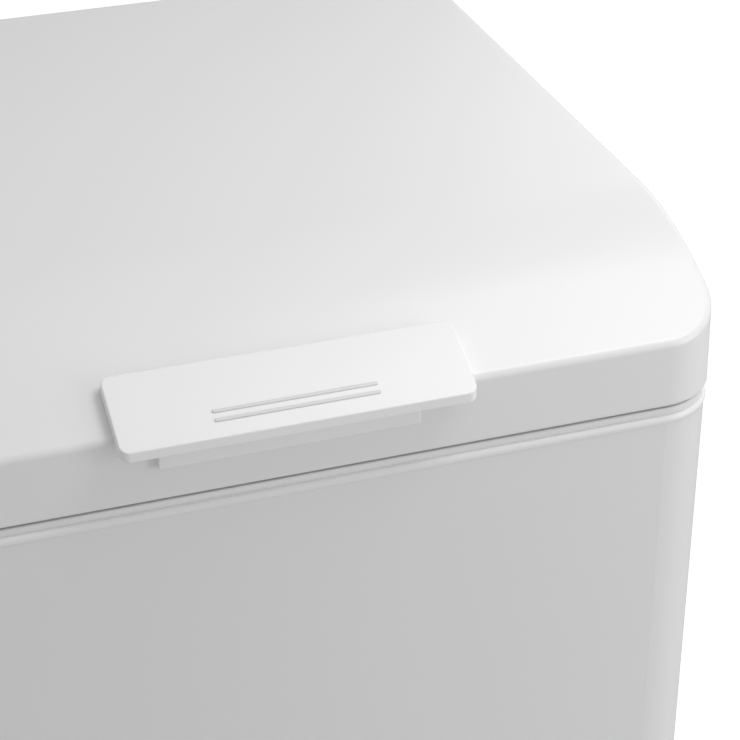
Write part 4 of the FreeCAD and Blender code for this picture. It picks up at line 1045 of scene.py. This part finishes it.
@dataclass
class HingeSprings:
    """The two lid springs, close wound on the hinge pins."""

    wire: float = 0.75 * MM
    turns: float = 5.5
    long: float = 9 * MM
    points_a_turn: int = 24

    def build(self) -> None:
        """Builds the coils: x runs along the pin as the angle turns."""
        low, high = node_box("hinge_springs")
        radius = (high[2] - low[2]) / 2 - self.wire
        middle = (low + high) / 2
        angle = np.linspace(0.0, self.turns * 2 * math.pi, int(self.turns * self.points_a_turn))
        climb = (self.long - 2 * self.wire) * angle / angle[-1]
        parts = []
        for start in (low[0], high[0] - self.long):
            x = start + self.wire + climb
            y, z = middle[1] + radius * np.cos(angle), middle[2] + radius * np.sin(angle)
            parts.append(tube(np.stack([x, y, z], axis=-1), self.wire, 8))
        points, faces = merged(parts)
        piece = solid("hinge_spring_coils", points, faces, Paint.ZINC, 60.0)
        dress(piece, "cabinet", "zinc", "hinge_springs")


@dataclass
class Foot:
    """A levelling foot: a ribbed pad, a hexagon collar and a threaded stem."""

    side: Side
    hexagon: float = 8 * MM
    threads: int = 9
    thread_deep: float = 0.45 * MM
    thread_from: float = 15 * MM
    stem: float = 4.8 * MM
    pad_tall: float = 3.6 * MM
    cone_foot: float = 9.6 * MM
    nut_low: float = 7.6 * MM
    nut_high: float = 13 * MM
    nut_edge: float = 0.6 * MM

    def build(self) -> None:
        """Builds the foot from two lathed solids; the collar's radius follows a hexagon."""
        node = "levelling_foot_" + self.side.word
        low, high = node_box(node)
        middle = (low + high) / 2
        pad = (high[0] - low[0]) / 2
        stem = self.stem
        rise = np.linspace(self.thread_from, high[2] - 1 * MM, self.threads * 2)
        thread = [(stem - (self.thread_deep if n % 2 else 0.0), z) for n, z in enumerate(rise)]
        profile = np.array([
            (0.0, 0.0), (pad - 2 * MM, 0.0), (pad - 0.5 * MM, 0.5 * MM), (pad, 1.6 * MM),
            (pad, self.pad_tall),
            (pad - 0.8 * MM, self.pad_tall + 1.2 * MM), (pad - 3 * MM, self.pad_tall + 1.8 * MM),
            (pad - 3.6 * MM, self.pad_tall + 1.5 * MM), (self.cone_foot, self.nut_low - 0.2 * MM),
            (stem, self.nut_low + 0.2 * MM), (stem, self.thread_from - 1 * MM), *thread,
            (stem * 0.7, high[2]), (0.0, high[2])])
        base = np.array((middle[0], middle[1], 0.0))
        body = lathe(profile, base, (0, 0, 1), 48)
        across, edge = self.hexagon, self.nut_edge
        nut = np.array([
            (0.0, self.nut_low), (across * 0.9, self.nut_low), (across, self.nut_low + edge),
            (across, self.nut_high - edge), (across * 0.9, self.nut_high), (0.0, self.nut_high)])

        def flats(angle: Array) -> Array:
            """A hexagon's radius over its corner's: cos 30 / cos of the angle from the nearest flat."""
            return math.cos(math.pi / 6) / np.cos(np.mod(angle, math.pi / 3) - math.pi / 6)

        points, faces = merged([body, lathe(nut, base, (0, 0, 1), 48, flats)])
        piece = solid("foot_%s_moulded" % self.side.word, points, faces, Paint.BLACK_PLASTIC, 32.0)
        dress(piece, "foot_" + self.side.word, "black_plastic", node)


@dataclass
class Roller:
    """A rear roller: a rounded tread with a hollowed hub on each face, open for its axle."""

    side: Side
    bore: float = 3.05 * MM
    hub: float = 5.2 * MM
    hollow: float = 9.4 * MM
    hollow_deep: float = 2.6 * MM
    round: float = 1.6 * MM

    def build(self) -> None:
        """Builds the roller from a closed profile of radius and distance along the axle."""
        node = "roller_" + self.side.word
        low, high = node_box(node)
        half = (high[0] - low[0]) / 2
        radius = (high[2] - low[2]) / 2
        r = self.round
        face, bottom = half - 0.4 * MM, half - self.hollow_deep
        right = [(self.bore, face), (self.hub, face), (self.hub + 0.4 * MM, bottom), (self.hollow, bottom),
                 (self.hollow + 0.5 * MM, half - 0.2 * MM), (radius - r, half),
                 (radius - 0.35 * r, half - 0.35 * r), (radius, half - r)]
        left = [(reach, -along) for reach, along in reversed(right)]
        points, faces = turned_ring(np.array(right + left), (low + high) / 2, (1, 0, 0), 48)
        piece = solid("roller_%s_tyre" % self.side.word, points, faces, Paint.RUBBER, 35.0)
        dress(piece, "roller_" + self.side.word, "black_plastic", node)


# ---------------------------------------------------------------- machine bay, controls and drain


@dataclass
class Compressor:
    """The hermetic pot: two pressed domes and a welded belt."""

    seam: float = 0.70
    belt: float = 1.0 * MM
    dome: float = 34 * MM

    def build(self) -> None:
        """Builds the pot: each dome's rim is a superellipse, (r/R)^3 + (h/H)^3 = 1."""
        low, high = node_box("compressor")
        middle = (low + high) / 2
        radius = (high[0] - low[0]) / 2
        tall = high[2] - low[2]
        seam = self.seam * tall
        angle = np.linspace(0.0, math.pi / 2, 14)
        rim = np.cos(angle) ** (2 / 3), np.sin(angle) ** (2 / 3)
        lower = [(radius * r, self.dome * (1 - h)) for r, h in zip(*(part[::-1] for part in rim))]
        upper = [(radius * r, tall - self.dome * (1 - h)) for r, h in zip(*rim)]
        belt = radius + self.belt
        waist = [(radius, seam - 4 * MM), (belt, seam - 3 * MM), (belt, seam - 0.6 * MM),
                 (belt - 0.5 * MM, seam), (belt, seam + 0.6 * MM), (belt, seam + 3 * MM),
                 (radius, seam + 4 * MM)]
        profile = np.array([(0.0, 0.0), *lower[1:], *waist, *upper[:-1], (0.0, tall)])
        points, faces = lathe(profile, np.array((middle[0], middle[1], low[2])), (0, 0, 1), 72)
        piece = solid("compressor_pot", points, faces, Paint.BLACK_PAINT, 35.0)
        dress(piece, "cabinet", "compressor_black", "compressor")


@dataclass
class Thermostat:
    """The knob with its fluted grip and pointer, and the dial's marks on the panel."""

    flute_count: int = 24
    flute_deep: float = 0.035
    marks: int = 9
    sweep: float = 300.0
    skirt_tall: float = 1.8 * MM
    skirt_wide: float = 1.6 * MM
    pointer_half: float = 0.8 * MM
    pointer_from: float = 2.5 * MM
    pointer_to: float = 9.5 * MM
    mark_half: float = 0.3 * MM
    mark_gap: float = 1.2 * MM
    mark_long: float = 1.2 * MM
    mark_growth: float = 0.22 * MM

    def knob(self) -> bpy.types.Object:
        """Builds the knob: a fluted grip on a plain skirt; the grip's radius is 1 - deep (1 + cos n a)/2."""
        low, high = node_box("thermostat_knob")
        middle = (low + high) / 2
        radius = (high[2] - low[2]) / 2
        deep = high[1] - low[1]
        base = np.array((middle[0], high[1], middle[2]))
        skirt = np.array([(0.0, 0.0), (radius - 0.3 * MM, 0.0), (radius, 0.3 * MM), (radius, 1.3 * MM),
                          (radius - 0.5 * MM, self.skirt_tall), (0.0, self.skirt_tall)])
        grip_radius = radius - self.skirt_wide
        grip = np.array([(0.0, 1.2 * MM), (grip_radius, 1.2 * MM), (grip_radius * 0.97, deep - 1.4 * MM),
                         (grip_radius * 0.93, deep - 0.5 * MM), (grip_radius * 0.86, deep), (0.0, deep)])

        def flutes(angle: Array) -> Array:
            """Shallow flutes round the grip."""
            return 1 - self.flute_deep * (1 + np.cos(self.flute_count * angle)) / 2

        points, faces = merged([
            lathe(skirt, base, (0, -1, 0), 72), lathe(grip, base, (0, -1, 0), 192, flutes)])
        return solid("knob_moulded", points, faces, Paint.CONTROL, 35.0)

    def pointer(self) -> bpy.types.Object:
        """Builds the inlaid pointer."""
        low, high = node_box("thermostat_knob")
        x, z = (low[0] + high[0]) / 2, (low[2] + high[2]) / 2
        half = self.pointer_half
        points, faces = block((x - half, low[1] - 0.25 * MM, z + self.pointer_from),
                              (x + half, low[1] + 0.6 * MM, z + self.pointer_to), 0.2 * MM)
        return solid("knob_pointer", points, faces, Paint.BLACK_PLASTIC, 40.0)

    def dial(self) -> bpy.types.Object:
        """Builds the marks: short bars round the knob that grow with the setting."""
        low, high = node_box("thermostat_knob")
        face = node_box("control_panel")[0][1]
        x, z = (low[0] + high[0]) / 2, (low[2] + high[2]) / 2
        reach = (high[2] - low[2]) / 2 + self.mark_gap
        half = self.mark_half
        parts = []
        for number in range(self.marks):
            turn = math.radians(self.sweep * (number / (self.marks - 1)) - self.sweep / 2)
            end = reach + self.mark_long + self.mark_growth * number
            points, faces = block((-half, face - 0.15 * MM, reach), (half, face + 0.2 * MM, end), 0.06 * MM)
            cosine, sine = math.cos(turn), math.sin(turn)
            swing = np.array([[cosine, 0, sine], [0, 1, 0], [-sine, 0, cosine]])
            parts.append((points @ swing.T + (x, 0.0, z), faces))
        points, faces = merged(parts)
        return solid("dial_marks", points, faces, Paint.BLACK_PLASTIC, 40.0)

    def build(self) -> None:
        """Builds and dresses the knob and the dial."""
        dress(self.knob(), "knob", "control_white", "thermostat_knob")
        dress(self.pointer(), "knob", "black_plastic")
        dress(self.dial(), "cabinet", "black_plastic")


@dataclass
class Drain:
    """The drain's stoppers: the plug in the well's floor and the cap on the front."""

    stem: float = 8.8 * MM
    stem_tall: float = 6.3 * MM
    tab_half: float = 8 * MM
    tab_thick: float = 2.4 * MM
    cap_thick: float = 5 * MM
    cap_flutes: int = 30
    cap_flute_deep: float = 0.025

    def plug(self) -> bpy.types.Object:
        """Builds the plug: a stem, a rolled head and a thin pull tab."""
        low, high = node_box("drain_plug")
        x, y = (low[0] + high[0]) / 2, (low[1] + high[1]) / 2
        radius = (high[0] - low[0]) / 2
        seat = self.stem_tall
        profile = np.array([
            (0.0, 0.0), (self.stem - 0.8 * MM, 0.0), (self.stem, 0.8 * MM), (self.stem, seat),
            (radius - 0.4 * MM, seat), (radius, seat + 0.4 * MM), (radius, seat + 1.6 * MM),
            (radius - 1.2 * MM, seat + 2.8 * MM), (radius - 4 * MM, seat + 3 * MM), (0.0, seat + 3 * MM)])
        head = lathe(profile, np.array((x, y, low[2])), (0, 0, 1), 48)
        half, thick = self.tab_half, self.tab_thick / 2
        tab = block((x - half, y - thick, low[2] + seat + 2 * MM), (x + half, y + thick, high[2]),
                    0.9 * MM, 1.1 * MM)
        points, faces = merged([head, tab])
        return solid("drain_plug_moulded", points, faces, Paint.CONTROL, 35.0)

    def cap(self) -> bpy.types.Object:
        """Builds the cap: a dished disc with a fluted rim, on a stem."""
        low, high = node_box("drain_cap")
        x, z = (low[0] + high[0]) / 2, (low[2] + high[2]) / 2
        radius = (high[0] - low[0]) / 2
        thick = self.cap_thick
        disc = np.array([
            (0.0, 0.0), (radius, 0.0), (radius, thick - 1.2 * MM), (radius - 0.4 * MM, thick - 0.4 * MM),
            (radius - 1.3 * MM, thick), (radius - 2.6 * MM, thick), (radius - 3.4 * MM, thick - 1 * MM),
            (0.0, thick - 1.2 * MM)])
        back = low[1] + thick
        stem = np.array([(0.0, 0.0), (self.stem, 0.0), (self.stem, high[1] - back - 0.8 * MM),
                         (self.stem - 0.8 * MM, high[1] - back), (0.0, high[1] - back)])

        def flutes(angle: Array) -> Array:
            """Shallow flutes round the disc."""
            return 1 - self.cap_flute_deep * (1 + np.cos(self.cap_flutes * angle)) / 2

        points, faces = merged([
            lathe(disc, np.array((x, back, z)), (0, -1, 0), 180, flutes),
            lathe(stem, np.array((x, back, z)), (0, 1, 0), 48)])
        return solid("drain_cap_moulded", points, faces, Paint.CONTROL, 35.0)

    def build(self) -> None:
        """Builds and dresses both stoppers."""
        dress(self.plug(), "drain_plug", "control_white", "drain_plug")
        dress(self.cap(), "drain_cap", "control_white", "drain_cap")


@dataclass
class CordGland:
    """The strain relief where the mains lead comes out: a collar and stepped ribs."""

    ribs: int = 3
    rib: float = 8.4 * MM
    rib_taper: float = 1.1 * MM
    neck: float = 8.9 * MM
    bore: float = 3.6 * MM
    collar_reach: float = 7 * MM
    collar_thick: float = 2.5 * MM

    def build(self) -> None:
        """Builds the gland from one profile; its bore is the lead's size."""
        low, high = node_box("cord_gland")
        x, z = (low[0] + high[0]) / 2, (low[2] + high[2]) / 2
        radius = (high[0] - low[0]) / 2
        neck, bore = self.neck, self.bore
        deep = high[1] - low[1]
        collar = deep - self.collar_reach
        outside = collar + self.collar_thick
        profile = [(bore, 0.0), (neck, 0.0), (neck, collar), (radius, collar), (radius, collar + 1.8 * MM),
                   (radius - 0.8 * MM, outside)]
        step = (deep - outside) / (2 * self.ribs)
        for number in range(self.ribs):
            reach = self.rib - number * self.rib_taper
            start = outside + 2 * number * step
            profile += [(reach - 1 * MM, start), (reach, start + 0.3 * step), (reach, start + step)]
            profile += [(reach - 1 * MM, start + 1.3 * step)]
        profile += [(bore + 1 * MM, deep), (bore, deep)]
        points, faces = turned_ring(np.array(profile), np.array((x, low[1], z)), (0, 1, 0), 48)
        piece = solid("gland_moulded", points, faces, Paint.BLACK_PLASTIC, 30.0)
        dress(piece, "cabinet", "black_plastic", "cord_gland")


# ---------------------------------------------------------------- finishes of kept nodes

NODE_PAINTS: dict[Paint, tuple[str, ...]] = {
    Paint.BODY: ("cabinet_wrapper",),
    Paint.LINER: ("inner_liner",),
    Paint.LID_LINER: ("lid_liner",),
    Paint.GASKET: ("lid_gasket",),
    Paint.GALVANISED: ("rear_panel", "base_pan", "machine_bay_panel", "service_cover"),
    Paint.FOAM: ("foam_insulation", "lid_foam"),
    Paint.BLACK_PAINT: ("compressor", "compressor_foot"),
    Paint.RUBBER: ("compressor_grommets", "roller_left", "roller_right", "rear_spacers"),
    Paint.COPPER: ("condenser_coil", "discharge_pipe", "suction_pipe", "filter_drier"),
    Paint.ALUMINIUM: ("evaporator_coil",),
    Paint.ZINC: ("compressor_bolts", "bracket_screws", "leaf_screws", "handle_screws", "hinge_pins",
                 "roller_axles", "hinge_springs"),
    Paint.POWDER: ("hinge_bracket_left", "hinge_bracket_right", "hinge_leaf_left", "hinge_leaf_right",
                   "roller_bracket_left", "roller_bracket_right"),
    Paint.PANEL: ("control_panel", "side_grille"),
    Paint.CONTROL: ("thermostat_knob", "fast_freeze_switch", "drain_cap", "drain_plug"),
    Paint.BLACK_PLASTIC: ("start_relay_cover", "thermostat_body", "thermostat_shaft", "cord_gland",
                          "levelling_foot_left", "levelling_foot_right"),
    Paint.HOSE: ("drain_tube",),
    Paint.LAMP: ("indicator_lamps",),
    Paint.WIRE: ("basket_floor", "basket_front", "basket_back", "basket_left", "basket_right", "basket_rim"),
    Paint.GRIP: ("basket_grips",),
}


def paint_nodes(frame: dict) -> None:
    """Gives every CAD node its material."""
    for paint, names in NODE_PAINTS.items():
        for name in names:
            frame["nodes"][name].data.materials[0] = PAINTS.get(paint)


# ---------------------------------------------------------------- studio


@dataclass(frozen=True)
class SoftBox:
    """One soft light: where it hangs, what it faces, its size and its power in watts."""

    name: str
    place: tuple[float, float, float]
    target: tuple[float, float, float]
    size: tuple[float, float]
    power: float

    def hang(self) -> None:
        """Hangs the light, facing its target."""
        data = bpy.data.lights.new(self.name, "AREA")
        data.shape = "RECTANGLE"
        data.size, data.size_y = self.size
        data.energy = self.power
        lamp = bpy.data.objects.new(self.name, data)
        bpy.context.scene.collection.objects.link(lamp)
        lamp.location = self.place
        lamp.rotation_mode = "QUATERNION"
        lamp.rotation_quaternion = (Vector(self.target) - Vector(self.place)).to_track_quat("-Z", "Y")


SOFT_BOXES = (
    SoftBox("overhead_box", (0.65, -0.35, 1.9), (0.15, -0.15, 0.8), (0.7, 0.7), 7.4),
    SoftBox("right_box", (1.25, -1.2, 0.9), (0.2, -0.25, 0.65), (0.6, 0.9), 5.6),
    SoftBox("back_box", (2.1, 2.5, 2.1), (0.2, 0.1, 0.85), (1.6, 0.7), 6.5),
)


@dataclass
class Studio:
    """The floor, the lights and the camera."""

    lens: float = 109.3
    eye: tuple[float, float, float] = (-317 * MM, -1057 * MM, 711 * MM)
    azimuth: float = 18.89
    elevation: float = 30.13
    floor_half: float = 6.0
    surround: float = 0.52

    def camera(self) -> None:
        """Stands the camera off the lid's front edge, to the left and above.

        Azimuth is how far the view turns from +Y to +X, and elevation how far it looks down.
        """
        lid = node_box("lid_shell")
        corner = np.array((0.0, lid[0][1], lid[0][2]))
        data = bpy.data.cameras.new("studio_camera")
        data.lens = self.lens
        data.clip_end = 100.0
        camera = bpy.data.objects.new("studio_camera", data)
        bpy.context.scene.collection.objects.link(camera)
        turn, down = math.radians(self.azimuth), math.radians(self.elevation)
        level = math.cos(down)
        ahead = np.array((math.sin(turn) * level, math.cos(turn) * level, -math.sin(down)))
        right = np.cross(ahead, (0.0, 0.0, 1.0))
        right /= np.linalg.norm(right)
        up = np.cross(right, ahead)
        stand = np.eye(4)
        stand[:3] = np.stack([right, up, -ahead, corner + np.array(self.eye)], axis=1)
        camera.matrix_world = Matrix(stand.tolist())
        bpy.context.scene.camera = camera

    def floor(self) -> None:
        """Lays a plain pale floor."""
        reach = self.floor_half
        mesh = bpy.data.meshes.new("studio_floor")
        mesh.from_pydata([(-reach, -reach, 0), (reach, -reach, 0), (reach, reach, 0), (-reach, reach, 0)], [],
                         [(0, 1, 2, 3)])
        nodes = Nodes("studio_floor")
        seen, bounced = (nodes.add("ShaderNodeBsdfPrincipled", {}, {
            "Base Color": (shade, shade, shade, 1.0), "Roughness": 0.9, "Specular IOR Level": 0.1,
            "Emission Color": (1.0, 1.0, 1.0, 1.0), "Emission Strength": glow})
            for shade, glow in ((0.93, 0.55), (0.72, 0.0)))
        ray = nodes.add("ShaderNodeLightPath", {}, {}, "Is Camera Ray")
        nodes.show(nodes.add("ShaderNodeMixShader", {}, {0: ray, 1: bounced, 2: seen}))
        mesh.materials.append(nodes.material)
        floor = bpy.data.objects.new("studio_floor", mesh)
        bpy.context.scene.collection.objects.link(floor)

    def world(self) -> None:
        """A plain white surround."""
        world = bpy.data.worlds.new("studio_world")
        bpy.context.scene.world = world
        world.use_nodes = True
        tree = world.node_tree
        background = tree.nodes["Background"]
        background.inputs["Color"].default_value = (1.0, 1.0, 1.0, 1.0)
        ray = tree.nodes.new("ShaderNodeLightPath")
        level = tree.nodes.new("ShaderNodeMapRange")
        level.inputs["To Min"].default_value = self.surround
        level.inputs["To Max"].default_value = 1.0
        tree.links.new(ray.outputs["Is Camera Ray"], level.inputs["Value"])
        tree.links.new(level.outputs["Result"], background.inputs["Strength"])

    def build(self) -> None:
        """Sets the scene up."""
        self.world()
        self.floor()
        self.camera()
        for box in SOFT_BOXES:
            box.hang()
        bpy.context.scene.view_settings.view_transform = "Standard"
        bpy.context.scene.view_settings.look = "None"


def main(frame: dict) -> None:
    """Builds every sub-assembly in order."""
    logging.basicConfig(level=logging.INFO, format="%(name)s: %(message)s")
    paint_nodes(frame)
    Studio().build()
    Lid().build()
    Handle().build()
    Seal().build()
    Rim().build()
    Basket().build()
    HingeSprings().build()
    for side in Side:
        Foot(side).build()
        Roller(side).build()
    Compressor().build()
    Thermostat().build()
    Drain().build()
    CordGland().build()


if __name__ == "__main__":
    for leftover in list(bpy.data.objects):
        bpy.data.objects.remove(leftover)
    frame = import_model()
    main(frame)
